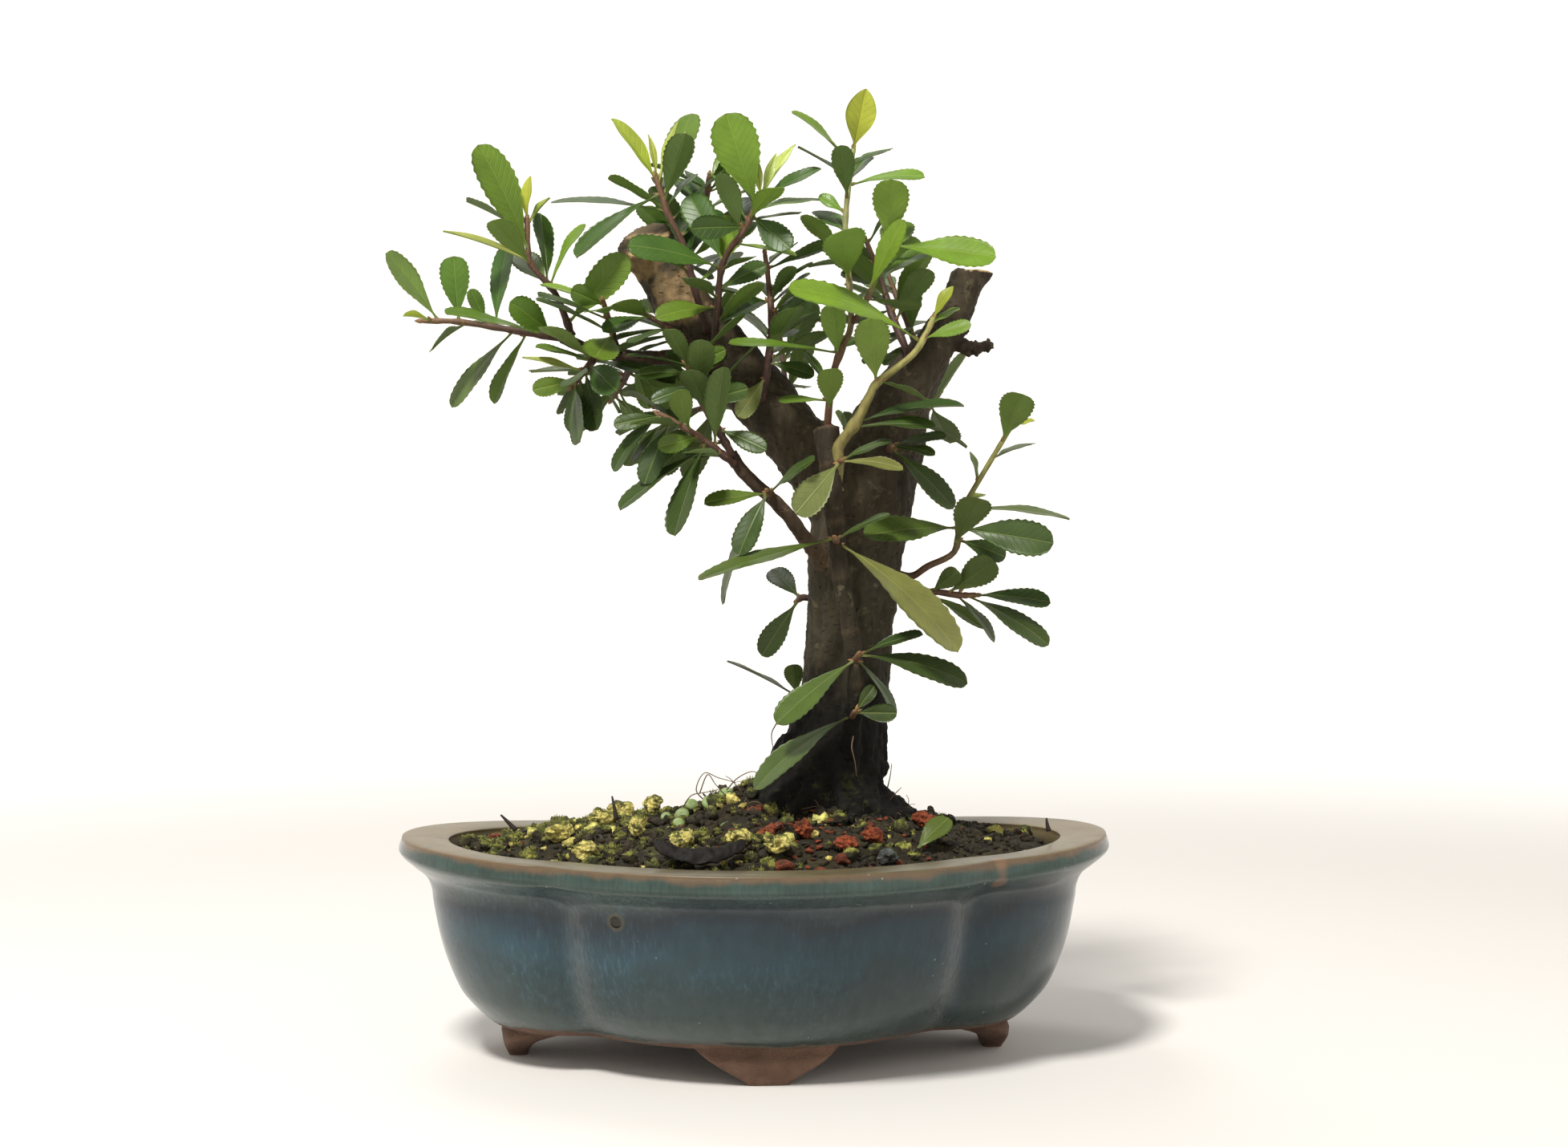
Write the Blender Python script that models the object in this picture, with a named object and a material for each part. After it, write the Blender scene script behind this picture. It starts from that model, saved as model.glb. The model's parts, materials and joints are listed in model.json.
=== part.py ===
"""Firethorn bonsai in its four-lobed glazed pot.

Lengths below are millimetres; MM turns them into metres. The tree is noted as it is seen from
the front: across, down and depth, with the eye EYE_BACK in front of the pot's middle.
"""
import math
import random

import bmesh
import bpy
from mathutils import Vector
from mathutils.bvhtree import BVHTree

MM = 0.001
SEED = 41
GAP = 0.35                      # air between neighbouring pieces

# pot
LOBE_X, LOBE_R = 46.5, 45.5     # centre and radius of the two end lobes of the body
LONG_Y, LONG_R = 7.8, 74.8      # the same for the two long sides
RIM_LIFT = 2.9                  # upsweep of the lip at both ends
RIM_FROM = 44.0                 # the upsweep starts this far out
FLOOR_Z = 15.0
BASE_Z = 9.0
END_STEPS, LONG_STEPS = 8, 10
OUTER = ((-21.0, BASE_Z), (-18.4, 9.7), (-14.9, 12.3), (-11.0, 16.2), (-8.6, 19.6), (-5.8, 25.9),
         (-3.5, 33.0), (-1.6, 42.5), (-0.6, 47.6), (1.0, 49.6), (5.6, 50.4), (7.5, 52.0),
         (8.0, 54.6), (7.3, 57.4), (5.8, 58.6))
INNER = ((-4.6, 58.3), (-5.6, 56.8), (-6.4, 50.0), (-8.4, 36.0), (-12.0, 24.0), (-16.5, 17.4),
         (-22.0, FLOOR_Z))
FOOT_LEVELS = ((0.0, 5.8, 0.0, 5.4), (0.9, 6.4, 0.4, 5.9), (2.6, 9.2, 1.0, 7.4),
               (5.0, 13.4, 1.9, 9.6), (7.6, 17.6, 2.7, 12.6), (9.6, 19.8, 3.2, 15.4),
               (12.0, 20.0, 3.2, 16.0))     # height, half width, lean outwards, thickness
FOOT_END_X, FOOT_LONG_Y = 69.4, 47.4        # outer face of each foot where it stands
DRAIN_X, DRAIN_R = 34.0, 5.5
SCREEN_HALF, SCREEN_BAR, SCREEN_THICK = 9.0, 1.6, 1.2

# soil
SOIL_EDGE_Z, SOIL_INSET = 55.2, -6.9
SOIL_RINGS = (0.93, 0.8, 0.64, 0.46, 0.28)
DROP_FROM, DROP_STEP = 90.0, 0.1    # what lies on the soil is lowered from here

# tree
TREE_TURN = math.radians(-4.5)  # the tree stands turned in its pot
EYE_X, EYE_Z, EYE_BACK = 7.8, 135.0, 620.0
STEP = 2734.0                   # steps across per unit of slope
BLADE = 0.7                     # thickness of a leaf
STALK = 0.48                    # half width of a leaf's stalk
FULL_FORM = 16                  # a leaf seen narrower than this has fewer cross lines
CAMBER_SHARE = {4: 1.0, 3: 0.75, 2: 0.4}    # how arched a leaf is, by its number of cross lines
EXTRA_LENGTHS, FILL_LENGTHS = (16.5, 24.5), (13.0, 20.0)    # shortest and longest ruled leaves
EXTRA_TRIES, FILL_TRIES = 14, 30
TRIES = ((0, 0), (-2.5, 0), (2.5, 0), (0, 0.35), (-5, 0), (5, 0), (-5, 0.5), (5, 0.5), (-9, 0),
         (9, 0.3), (-13, 0.3), (0, 0.8), (-17, 0.2), (13, 0.2))     # shifts in depth and rolls


def turned(x, y, z):
    c, s = math.cos(TREE_TURN), math.sin(TREE_TURN)
    return Vector((x * c - y * s, x * s + y * c, z))


def seen(across, down, depth):
    """A point noted in the front view, at its depth behind the pot's middle."""
    k = (EYE_BACK + depth) / STEP
    return turned(EYE_X + (across - 977.5) * k, depth, EYE_Z + (710.0 - down) * k)


def view_of(p):
    """The reverse of seen: across, down and depth of a point."""
    c, s = math.cos(-TREE_TURN), math.sin(-TREE_TURN)
    x, y = p.x * c - p.y * s, p.x * s + p.y * c
    k = (EYE_BACK + y) / STEP
    return 977.5 + (x - EYE_X) / k, 710.0 - (p.z - EYE_Z) / k, y


# The trunk from its buried crown up: x, y, z, half width, half depth
TRUNK = ((19.5, 0.0, 44.0, 15.0, 14.0), (19.5, 0.0, 52.0, 20.0, 17.5), (19.5, 0.0, 62.0, 22.6, 19.0),
         (19.4, 0.0, 69.0, 22.8, 19.0), (17.8, 0.0, 75.0, 19.4, 17.2), (20.2, 0.0, 80.5, 16.2, 15.0),
         (22.4, 0.0, 87.0, 14.2, 13.4), (24.8, 0.5, 101.4, 12.6, 12.2), (26.2, 1.0, 113.0, 12.2, 12.0),
         (26.8, 1.0, 124.0, 12.4, 12.2), (28.4, 1.0, 140.0, 13.2, 12.6), (30.6, 1.0, 154.0, 13.6, 12.4),
         (35.0, 1.0, 169.5, 12.2, 11.4), (39.9, 1.0, 182.8, 9.9, 9.6), (46.4, 0.5, 193.4, 8.2, 8.0),
         (53.0, 0.0, 202.5, 6.3, 6.3), (57.2, 0.0, 211.0, 5.4, 5.4), (61.2, 0.0, 219.4, 5.3, 5.2))
HOLE_RINGS = 9                  # the soil's root hole follows this many of them
# Limb and stub: x, y, z, radius. Sucker and boughs: across, down, depth, radius
LEFT_LIMB = ((25.0, 1.0, 148.0, 8.5), (17.0, 1.5, 163.5, 8.8), (8.6, 2.0, 175.0, 8.9),
             (-1.8, 2.5, 187.4, 8.6), (-12.6, 3.0, 199.8, 8.1), (-22.4, 3.0, 212.4, 7.5),
             (-28.4, 3.0, 222.6, 7.3), (-33.0, 3.0, 231.2, 7.9))
SIDE_STUB = ((52.0, -1.0, 199.2, 2.6), (57.0, -1.0, 198.4, 2.0), (62.0, -1.0, 197.6, 1.9),
             (66.4, -1.0, 198.2, 1.6))
SUCKER = ((1058, 935, -8, 2.4), (1062, 905, -14, 2.3), (1067, 860, -18.5, 2.2), (1063, 803, -19.5, 2.1),
          (1051, 736, -20, 2.1), (1044, 676, -20.5, 2.1), (1040, 640, -20.5, 2.3),
          (1036, 590, -20, 2.6), (1030, 535, -17, 3.2))
BOUGHS = (
    ((905, 440, 0, 2.8), (868, 442, -3, 2.6), (822, 446, -5, 2.3), (780, 444, -6, 2.1),
     (735, 435, -7, 1.9), (700, 421, -9, 1.6)),
    ((1028, 700, -6, 2.6), (1004, 672, -13, 2.3), (977, 636, -17, 2.1), (931, 593, -19, 1.9),
     (912, 565, -20, 1.7)),
)

# Shoots: name, colour, routes, leaves, extra leaves. A route is (across, down, depth) from its
# root out; a leaf is (root across, root down, tip across, tip down, width seen, depth of its tip
# beyond its root, kind). Kinds: d dark, m mid, b bright, y young, o olive, p pale.
SHOOTS = (
    ("shoot_far_left", "mid",
     (((703, 422, -9), (643, 412, -11), (572, 401, -12), (528, 400, -12)),),
     ((572, 401, 565, 319, 37, -3, "k"), (617, 408, 634, 300, 30, 5, "d"),
      (606, 405, 586, 360, 18, -4, "m"), (690, 420, 636, 376, 36, -6, "m"),
      (676, 417, 556, 386, 14, -9, "m"), (540, 400, 503, 392, 8, -2, "y"),
      (640, 411, 561, 506, 25, -3, "m")), 4),
    ("shoot_upper_left", "bright",
     (((716, 428, -8), (707, 402, -10), (691, 364, -12), (662, 330, -14), (658, 306, -14),
       (657, 276, -14)),),
     ((657, 316, 596, 180, 44, -6, "m"), (660, 325, 553, 285, 9, -4, "p"),
      (658, 278, 660, 219, 14, 0, "y"), (658, 280, 684, 245, 8, 1, "y"),
      (657, 280, 622, 224, 7, 2, "p"), (684, 350, 672, 266, 20, 7, "d"),
      (686, 356, 728, 278, 14, 2, "b"), (706, 404, 781, 318, 42, -6, "m")), 3),
    ("shoot_lower_left", "dark",
     (((745, 440, -8), (737, 452, -12), (724, 468, -13), (714, 480, -13)),),
     ((728, 462, 651, 445, 9, -2, "p"), (720, 474, 664, 486, 24, -5, "m"),
      (735, 455, 768, 486, 38, -9, "d"), (718, 476, 713, 540, 20, 3, "d"),
      (738, 450, 842, 475, 20, -6, "d"), (720, 470, 735, 505, 22, 6, "d")), 5),
    ("shoot_drooping", "dark",
     (((922, 584, -20), (904, 569, -24.5), (882, 552, -26), (850, 531, -26), (822, 516, -25.5)),),
     ((826, 518, 765, 530, 22, -3, "d"), (823, 517, 763, 586, 20, 0, "d"),
      (836, 524, 803, 603, 30, -5, "d"), (832, 521, 786, 574, 11, 4, "d"),
      (889, 555, 773, 636, 16, -7, "d"), (880, 550, 841, 668, 42, -10, "d"),
      (866, 542, 820, 588, 32, 5, "d"), (840, 526, 788, 490, 12, 4, "d"),
      (872, 545, 820, 558, 24, -9, "m")), 5),
    ("shoot_mid_left", "dark",
     (((910, 562, -20.5), (895, 535, -21), (878, 507, -21), (862, 470, -20), (856, 448, -20)),),
     ((860, 466, 795, 468, 18, -3, "d"), (874, 500, 932, 484, 24, -5, "d"),
      (858, 456, 905, 436, 22, -6, "m"), (868, 484, 812, 500, 20, 5, "d"),
      (895, 535, 955, 560, 24, -6, "d")), 8),
    ("shoot_bough_spur", "dark",
     (((962, 616, -21), (957, 612, -25)),),
     ((960, 616, 878, 628, 18, -4, "m"), (958, 614, 896, 752, 14, 2, "d"),
      (957, 614, 921, 692, 32, -4, "d")), 1),
    ("shoot_upper", "dark",
     (((880, 408, -7), (862, 345, -10), (853, 308, -10), (832, 265, -10), (826, 245, -10),
       (818, 222, -10)),),
     ((820, 226, 762, 148, 20, -4, "y"), (818, 222, 809, 167, 8, 0, "p"),
      (820, 225, 855, 163, 8, 3, "p"), (821, 230, 845, 150, 9, -5, "p"),
      (825, 240, 718, 320, 25, -9, "d"), (831, 262, 688, 250, 14, 5, "d"),
      (828, 248, 862, 141, 38, 8, "m"), (848, 296, 900, 262, 22, 6, "d")), 8),
    ("shoot_centre", "mid",
     (((884, 461, -9), (891, 423, -13), (895, 377, -15), (899, 337, -16), (909, 312, -17),
       (926, 289, -18), (937, 268, -18), (950, 244, -18)),),
     ((942, 258, 905, 141, 58, -6, "m"), (949, 246, 940, 190, 13, -3, "p"),
      (950, 245, 968, 190, 13, 2, "p"), (947, 250, 1023, 209, 18, 5, "d"),
      (946, 252, 992, 180, 15, 9, "p"), (930, 283, 862, 284, 30, -9, "d"),
      (903, 328, 859, 242, 42, 6, "d"), (938, 268, 984, 309, 34, -9, "d"),
      (940, 263, 1027, 247, 15, 9, "m"), (900, 335, 782, 306, 34, -9, "d"),
      (895, 383, 817, 396, 26, -10, "m"), (897, 360, 955, 330, 24, -4, "d")), 6),
    ("shoot_top", "bright",
     (((1032, 526, -17), (1038, 470, -21), (1050, 433, -22), (1061, 404, -21), (1058, 340, -18),
       (1054, 281, -16), (1059, 224, -15), (1064, 186, -15)),
      ((1061, 404, -21), (1076, 383, -22), (1092, 346, -22), (1110, 304, -21))),
     ((1064, 188, 1080, 110, 38, -4, "y"), (1062, 205, 988, 137, 11, -3, "m"),
      (1059, 232, 1153, 221, 16, -6, "b"), (1056, 268, 1022, 243, 15, 3, "m"),
      (1045, 448, 1037, 380, 32, -7, "b"), (1048, 440, 908, 428, 13, -6, "b"),
      (1034, 512, 1036, 460, 32, -10, "b"), (1036, 500, 971, 498, 9, -3, "b"),
      (1108, 308, 1112, 222, 45, -4, "b"), (1082, 368, 1128, 274, 26, -8, "b"),
      (1057, 352, 1052, 286, 54, -12, "b"), (1110, 306, 1242, 320, 38, -5, "b"),
      (1092, 350, 1163, 308, 20, 4, "m")), 6),
    ("shoot_olive", "olive",
     (((1046, 556, -24), (1067, 527, -26), (1084, 494, -27), (1094, 477, -27), (1138, 442, -27),
       (1155, 415, -26), (1163, 398, -25)),),
     ((1163, 398, 1188, 356, 14, -1, "y"), (1160, 404, 1196, 383, 10, 3, "b"),
      (1151, 424, 1211, 404, 18, -4, "b"), (1092, 480, 1086, 397, 44, -7, "b"),
      (1148, 428, 985, 354, 30, -15, "b"), (1067, 527, 1202, 505, 16, 2, "d"),
      (1062, 532, 1167, 532, 13, -6, "d")), 1),
    ("spur_stem_top", "olive",
     (((1042, 580, -24), (1048, 575, -28)),),
     ((1048, 576, 993, 640, 40, -9, "o"), (1048, 576, 1126, 584, 16, -5, "o"),
      (1047, 574, 1112, 548, 11, 4, "d")), 0),
    ("spur_stem_mid", "olive",
     (((1044, 676, -24), (1041, 671, -28)),),
     ((1040, 672, 871, 724, 20, -9, "m"), (1044, 676, 1198, 808, 42, -12, "o"),
      (1044, 672, 1109, 640, 8, -3, "d")), 0),
    ("spur_stem_low", "dark",
     (((1066, 824, -23), (1070, 817, -26)),),
     ((1066, 822, 967, 900, 28, -8, "m"), (1070, 817, 1151, 791, 9, -3, "d"),
      (1071, 818, 1207, 850, 26, -3, "d"), (1070, 822, 1119, 893, 10, 4, "d")), 0),
    ("spur_stem_base", "dark",
     (((1063, 893, -20), (1066, 888, -24)),),
     ((1068, 889, 1118, 889, 24, -3, "d"), (1066, 887, 1090, 855, 18, 1, "d"),
      (1062, 892, 940, 983, 24, -8, "m")), 0),
    ("spur_trunk_right", "dark",
     (((1108, 560, -13), (1112, 556, -18)),),
     ((1110, 558, 1189, 634, 30, -3, "d"), (1110, 556, 1166, 566, 11, -5, "d"),
      (1112, 556, 1180, 541, 12, 1, "d")), 0),
    ("shoot_right", "dark",
     (((1138, 718, -5), (1157, 706, -8), (1190, 688, -10), (1196, 652, -10), (1203, 630, -10),
       (1235, 575, -10), (1264, 527, -10)),),
     ((1197, 658, 1314, 677, 44, -7, "d"), (1193, 672, 1254, 694, 25, 4, "d"),
      (1202, 634, 1334, 647, 12, -3, "m"), (1203, 628, 1228, 616, 10, 3, "y"),
      (1195, 658, 1078, 670, 34, -14, "m"), (1250, 552, 1275, 490, 42, -4, "b"),
      (1219, 602, 1211, 563, 8, 0, "b"), (1262, 530, 1290, 524, 7, 0, "y")), 2),
    ("shoot_right_low", "dark",
     (((1134, 742, 0), (1165, 738, -1), (1195, 742, -2), (1216, 742, -2)),),
     ((1180, 740, 1240, 700, 38, -6, "d"), (1213, 742, 1310, 752, 20, -3, "d"),
      (1205, 742, 1309, 802, 24, -6, "d"), (1192, 742, 1241, 800, 14, 3, "d"),
      (1160, 738, 1196, 712, 25, -8, "d")), 2),
    ("spur_trunk_left", "dark",
     (((1000, 745, 6), (994, 749, 9)),), ((996, 748, 950, 818, 30, 2, "d"),), 1),
    ("spur_trunk_low", "dark",
     (((996, 868, 7), (991, 867, 10)),), ((993, 868, 988, 828, 24, 2, "d"),), 1),
    ("shoot_inner", "dark",
     (((950, 500, -7), (958, 450, -12), (962, 400, -11), (958, 350, -7), (954, 318, -5)),),
     ((958, 452, 1015, 468, 20, -4, "d"), (955, 470, 921, 520, 26, -7, "o"),
      (962, 400, 1012, 372, 24, -5, "d")), 8),
    ("shoot_inner_left", "dark",
     (((864, 442, -5), (852, 422, -11), (828, 405, -13), (805, 392, -12)),),
     ((812, 396, 770, 350, 26, -4, "d"), (850, 420, 840, 364, 22, -8, "d"),
      (808, 394, 752, 412, 22, -5, "d")), 8),
    ("shoot_bough_up", "mid",
     (((772, 442, -7), (762, 410, -15), (752, 376, -20)),),
     ((754, 380, 712, 362, 26, -2, "m"), (758, 396, 822, 372, 24, -6, "d")), 5),
    ("shoot_bough_back", "dark",
     (((790, 450, -2), (775, 478, 8), (762, 498, 14)),), (), 7),
    ("shoot_top_back", "mid",
     (((846, 352, 8), (866, 300, 12), (880, 250, 13), (884, 220, 13)),),
     ((882, 232, 920, 180, 24, 5, "m"),), 7),
    ("shoot_right_back", "mid",
     (((1132, 440, -7), (1112, 392, -2), (1096, 340, 2), (1080, 300, 4)),),
     ((1090, 330, 1148, 300, 26, 6, "m"), (1100, 356, 1040, 322, 24, 8, "d")), 7),
    ("shoot_back_right", "dark",
     (((1150, 470, 8), (1140, 425, 20), (1122, 380, 28), (1105, 335, 32)),), (), 7),
    ("shoot_back_left", "dark",
     (((888, 436, 11), (880, 392, 22), (862, 345, 30), (850, 300, 33)),), (), 7),
    ("shoot_back_mid", "dark",
     (((985, 535, 11), (980, 490, 24), (975, 440, 33), (968, 392, 37)),), (), 7),
    ("shoot_back_low", "dark",
     (((1050, 640, 13), (1062, 600, 28), (1082, 566, 40)),), (), 6),
    ("shoot_back_out", "dark",
     (((930, 494, 11), (890, 505, 20), (850, 514, 29), (818, 508, 34)),), (), 6),
    ("shoot_back_side", "dark",
     (((1128, 545, 10), (1150, 520, 24), (1172, 490, 34)),), (), 6),
)
# Leaves taken off again, so that the sawn limb shows: shoot and their places in its list
BARED = (("shoot_inner_left", (0, 1, 3, 8, 9, 13)), ("shoot_upper", (11, 12, 16, 18)))
# Small leaves that close the crown, placed last: shoot and how many
FILL = (("shoot_inner", 7), ("shoot_inner_left", 3), ("shoot_mid_left", 5), ("shoot_centre", 7),
        ("shoot_upper", 5), ("shoot_bough_back", 5), ("shoot_drooping", 4), ("shoot_lower_left", 4),
        ("shoot_top_back", 5), ("shoot_back_left", 5), ("shoot_back_mid", 5), ("shoot_back_out", 4),
        ("shoot_right_back", 5), ("shoot_back_right", 4), ("shoot_top", 5), ("shoot_back_low", 3))
COLOURS = {"dark": (0.045, 0.105, 0.04), "mid": (0.1, 0.21, 0.055), "bright": (0.16, 0.3, 0.07),
           "olive": (0.2, 0.23, 0.09)}

# Stones on the soil: (x, y, long radius, height radius)
PUMICE = ((-55, -18, 5.2, 3.2), (-44, -4, 4.6, 3.0), (-48, -33, 4.0, 2.8), (-34, -22, 4.4, 3.2),
          (-22, -38, 5.0, 3.4), (-29, 6, 4.4, 3.0), (-8, -40, 4.2, 3.0), (2, -48, 5.0, 3.4),
          (-38, 24, 4.6, 3.0))
LAVA = ((10, -36, 3.6, 2.4), (21, -44, 4.4, 2.6), (29, -35, 3.8, 2.6), (0.5, -36, 3.2, 2.2),
        (45, -19, 3.8, 2.4), (20, 34, 4.0, 2.6))
GREY = (31, -47, 3.6, 2.4)


def add_mesh(name, verts, faces):
    bm = bmesh.new()
    made = [bm.verts.new(v) for v in verts]
    for face in faces:
        bm.faces.new([made[i] for i in face])
    bmesh.ops.recalc_face_normals(bm, faces=bm.faces)
    if bm.calc_volume(signed=True) < 0:
        bmesh.ops.reverse_faces(bm, faces=bm.faces)
    bmesh.ops.triangulate(bm, faces=bm.faces)
    bmesh.ops.scale(bm, vec=(MM, MM, MM), verts=bm.verts)
    mesh = bpy.data.meshes.new(name)
    bm.to_mesh(mesh)
    bm.free()
    obj = bpy.data.objects.new(name, mesh)
    bpy.context.collection.objects.link(obj)
    return obj


def paint(obj, colour, roughness, metallic=0.0):
    mat = bpy.data.materials.new(obj.name + "_mat")
    mat.use_nodes = True
    bsdf = mat.node_tree.nodes["Principled BSDF"]
    bsdf.inputs["Base Color"].default_value = (*colour, 1.0)
    bsdf.inputs["Roughness"].default_value = roughness
    bsdf.inputs["Metallic"].default_value = metallic
    obj.data.materials.clear()
    obj.data.materials.append(mat)


def settle(obj):
    """Keeps what the modifiers make of an object as its own mesh."""
    bpy.context.view_layer.update()
    mesh = bpy.data.meshes.new_from_object(obj.evaluated_get(bpy.context.evaluated_depsgraph_get()))
    obj.modifiers.clear()
    obj.data = mesh


def join(obj, others, operation="UNION", solver="EXACT"):
    group = bpy.data.collections.new(obj.name + "_group")
    for other in others:
        bpy.context.collection.objects.unlink(other)
        group.objects.link(other)
    bpy.context.scene.collection.children.link(group)
    mod = obj.modifiers.new("join", "BOOLEAN")
    mod.operand_type = "COLLECTION"
    mod.collection = group
    mod.operation = operation
    mod.solver = solver
    settle(obj)
    for other in others:
        bpy.data.objects.remove(other)
    bpy.data.collections.remove(group)
    return obj


def cut(obj, cutter):
    cutter.hide_render = True
    cutter.display_type = "WIRE"
    mod = obj.modifiers.new("cut", "BOOLEAN")
    mod.object = cutter
    mod.operation = "DIFFERENCE"
    mod.solver = "EXACT"
    settle(obj)
    bpy.data.objects.remove(cutter)


def frames(points):
    """Tangent and two side directions along a run of points, carried without twist."""
    out = []
    side = None
    for i, p in enumerate(points):
        a = points[max(i - 1, 0)]
        b = points[min(i + 1, len(points) - 1)]
        t = (b - a).normalized()
        if side is None:
            side = t.cross(Vector((0, 1, 0)) if abs(t.y) < 0.8 else Vector((1, 0, 0)))
        side = (side - t * side.dot(t)).normalized()
        out.append((t, side, t.cross(side)))
    return out


def tube(points, radii, sides):
    verts, faces = [], []
    for p, r, (t, u, v) in zip(points, radii, frames(points)):
        for k in range(sides):
            a = math.tau * k / sides
            verts.append(p + (u * math.cos(a) + v * math.sin(a)) * r)
    rings = len(points)
    for i in range(rings - 1):
        for k in range(sides):
            a, b = i * sides + k, i * sides + (k + 1) % sides
            faces += [(a, b, b + sides), (a, b + sides, a + sides)]
    faces.append(tuple(range(sides - 1, -1, -1)))
    faces.append(tuple((rings - 1) * sides + k for k in range(sides)))
    return verts, faces


def loft(rings):
    """Closed solid through rings of equal count, with flat ends."""
    count = len(rings[0])
    verts = [p for ring in rings for p in ring]
    faces = []
    for i in range(len(rings) - 1):
        for k in range(count):
            a, b = i * count + k, i * count + (k + 1) % count
            faces += [(a, b, b + count), (a, b + count, a + count)]
    faces.append(tuple(range(count - 1, -1, -1)))
    faces.append(tuple((len(rings) - 1) * count + k for k in range(count)))
    return verts, faces


def lobe_outline(offset):
    """Plan of the four-lobed pot, moved out by offset: points around, front left crease first."""
    ra, rb = LOBE_R + offset, LONG_R + offset
    k = ra * ra - rb * rb - LOBE_X * LOBE_X + LONG_Y * LONG_Y
    p, q = k / (2 * LOBE_X), LONG_Y / LOBE_X          # on the crease, x = p - q * y
    a = 1 + q * q
    b = -2 * q * (p + LOBE_X)
    c = (p + LOBE_X) ** 2 - ra * ra
    y = (-b - math.sqrt(b * b - 4 * a * c)) / (2 * a)
    x = p - q * y
    half_long = math.atan2(-x, LONG_Y - y)
    half_end = math.atan2(-y, -(x + LOBE_X))
    ring = []
    for turn in (0, 1):
        sign = 1 if turn == 0 else -1
        for i in range(LONG_STEPS):
            ang = -half_long + 2 * half_long * i / LONG_STEPS
            ring.append((sign * rb * math.sin(ang), sign * (LONG_Y - rb * math.cos(ang))))
        for i in range(END_STEPS):
            ang = -half_end + 2 * half_end * i / END_STEPS
            ring.append((sign * (LOBE_X + ra * math.cos(ang)), sign * ra * math.sin(ang)))
    return ring


def pot_ring(offset, z):
    weight = min(max((z - RIM_FROM) / 12.0, 0.0), 1.0)
    out = []
    for x, y in lobe_outline(offset):
        far = min(max((abs(x) - 45.0) / 55.0, 0.0), 1.0)
        out.append(Vector((x, y, z + RIM_LIFT * weight * far ** 1.6)))
    return out


def foot(name, angle, outer):
    """One bracket foot, its outer face at distance outer from the middle, facing angle."""
    rings = []
    c, s = math.cos(angle), math.sin(angle)
    for z, half, lean, thick in FOOT_LEVELS:
        far, near = outer + lean, outer + lean - thick
        ring = []
        for u, v in ((far, -half), (far, half), (near, half), (near, -half)):
            ring.append(Vector((u * c - v * s, u * s + v * c, z)))
        rings.append(ring)
    return add_mesh(name, *loft(rings))


def build_pot():
    rings = [pot_ring(o, z) for o, z in OUTER] + [pot_ring(o, z) for o, z in INNER]
    pot = add_mesh("pot", *loft(rings))
    feet = [foot("foot_%d" % i, i * math.pi / 2, FOOT_END_X if i % 2 == 0 else FOOT_LONG_Y)
            for i in range(4)]
    join(pot, feet)
    for side in (-1, 1):
        ring = [Vector((side * DRAIN_X + DRAIN_R * math.cos(math.tau * k / 16),
                        DRAIN_R * math.sin(math.tau * k / 16), 0)) for k in range(16)]
        hole = loft([[p + Vector((0, 0, z)) for p in ring] for z in (4.0, 20.0)])
        cut(pot, add_mesh("hole", *hole))
    paint(pot, (0.085, 0.155, 0.175), 0.22)
    return pot


def screen(name, x):
    """Square of plastic drain netting, two openings each way."""
    h, b = SCREEN_HALF, SCREEN_BAR
    lines = (-h, -h + b, -b / 2, b / 2, h - b, h)
    z0 = FLOOR_Z + GAP
    verts = [Vector((x + u, v, z0 + w)) for w in (0.0, SCREEN_THICK) for v in lines for u in lines]
    faces = []
    full = {(i, j) for i in range(5) for j in range(5) if not (i % 2 and j % 2)}
    for i, j in full:
        a, b2, c, d = j * 6 + i, j * 6 + i + 1, j * 6 + i + 7, j * 6 + i + 6
        faces.append((a, d, c, b2))
        faces.append((a + 36, b2 + 36, c + 36, d + 36))
        for near, (p, q) in (((i, j - 1), (a, b2)), ((i + 1, j), (b2, c)), ((i, j + 1), (c, d)),
                             ((i - 1, j), (d, a))):
            if near not in full:
                faces.append((p, q, q + 36, p + 36))
    obj = add_mesh(name, verts, faces)
    paint(obj, (0.03, 0.03, 0.03), 0.6)
    return obj


def soil_height(x, y, f):
    """Height of the soil at x, y, where f is 0 in the middle of the pot and 1 at its wall."""
    swell = 9.0 * (1.0 - f ** 2.4)
    trunk = 6.4 * math.exp(-((x - 17.0) ** 2 + y * y) / (2 * 21.0 ** 2))
    left = 4.2 * math.exp(-((x + 6.0) ** 2 + y * y) / (2 * 9.0 ** 2))
    return SOIL_EDGE_Z + swell + trunk + left


def trunk_rings(grow=0.0):
    """Rings of the trunk, with a root flare in lobes low down."""
    rng = random.Random(SEED + 1)
    rings = []
    sides = 14
    for x, y, z, hw, hd in TRUNK:
        flare = min(max((86.0 - z) / 16.0, 0.0), 1.0)
        ring = []
        for k in range(sides):
            a = math.tau * k / sides
            lobe = 1.0 + flare * 0.10 * math.cos(3 * a + 0.6) + flare * 0.06 * math.cos(5 * a)
            knob = 1.0 + (0.035 * rng.uniform(-1, 1) if z > 70 else 0.0)
            if z < 60:
                lobe = 1.0 + (lobe - 1.0) * 0.8
            ring.append(turned(x + (hw * lobe * knob + grow) * math.cos(a),
                               y + (hd * lobe * knob + grow) * math.sin(a), z if rings else z - grow))
        rings.append(ring)
    return rings


def wood_tubes():
    """Limbs, stub, sucker and boughs, each as points and radii."""
    out = [([turned(x, y, z) for x, y, z, r in LEFT_LIMB], [p[3] for p in LEFT_LIMB], 12),
           ([turned(x, y, z) for x, y, z, r in SIDE_STUB], [p[3] for p in SIDE_STUB], 7),
           ([seen(a, d, e) for a, d, e, r in SUCKER], [p[3] for p in SUCKER], 7)]
    for bough in BOUGHS:
        out.append(([seen(a, d, e) for a, d, e, r in bough], [p[3] for p in bough], 6))
    return out


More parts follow.
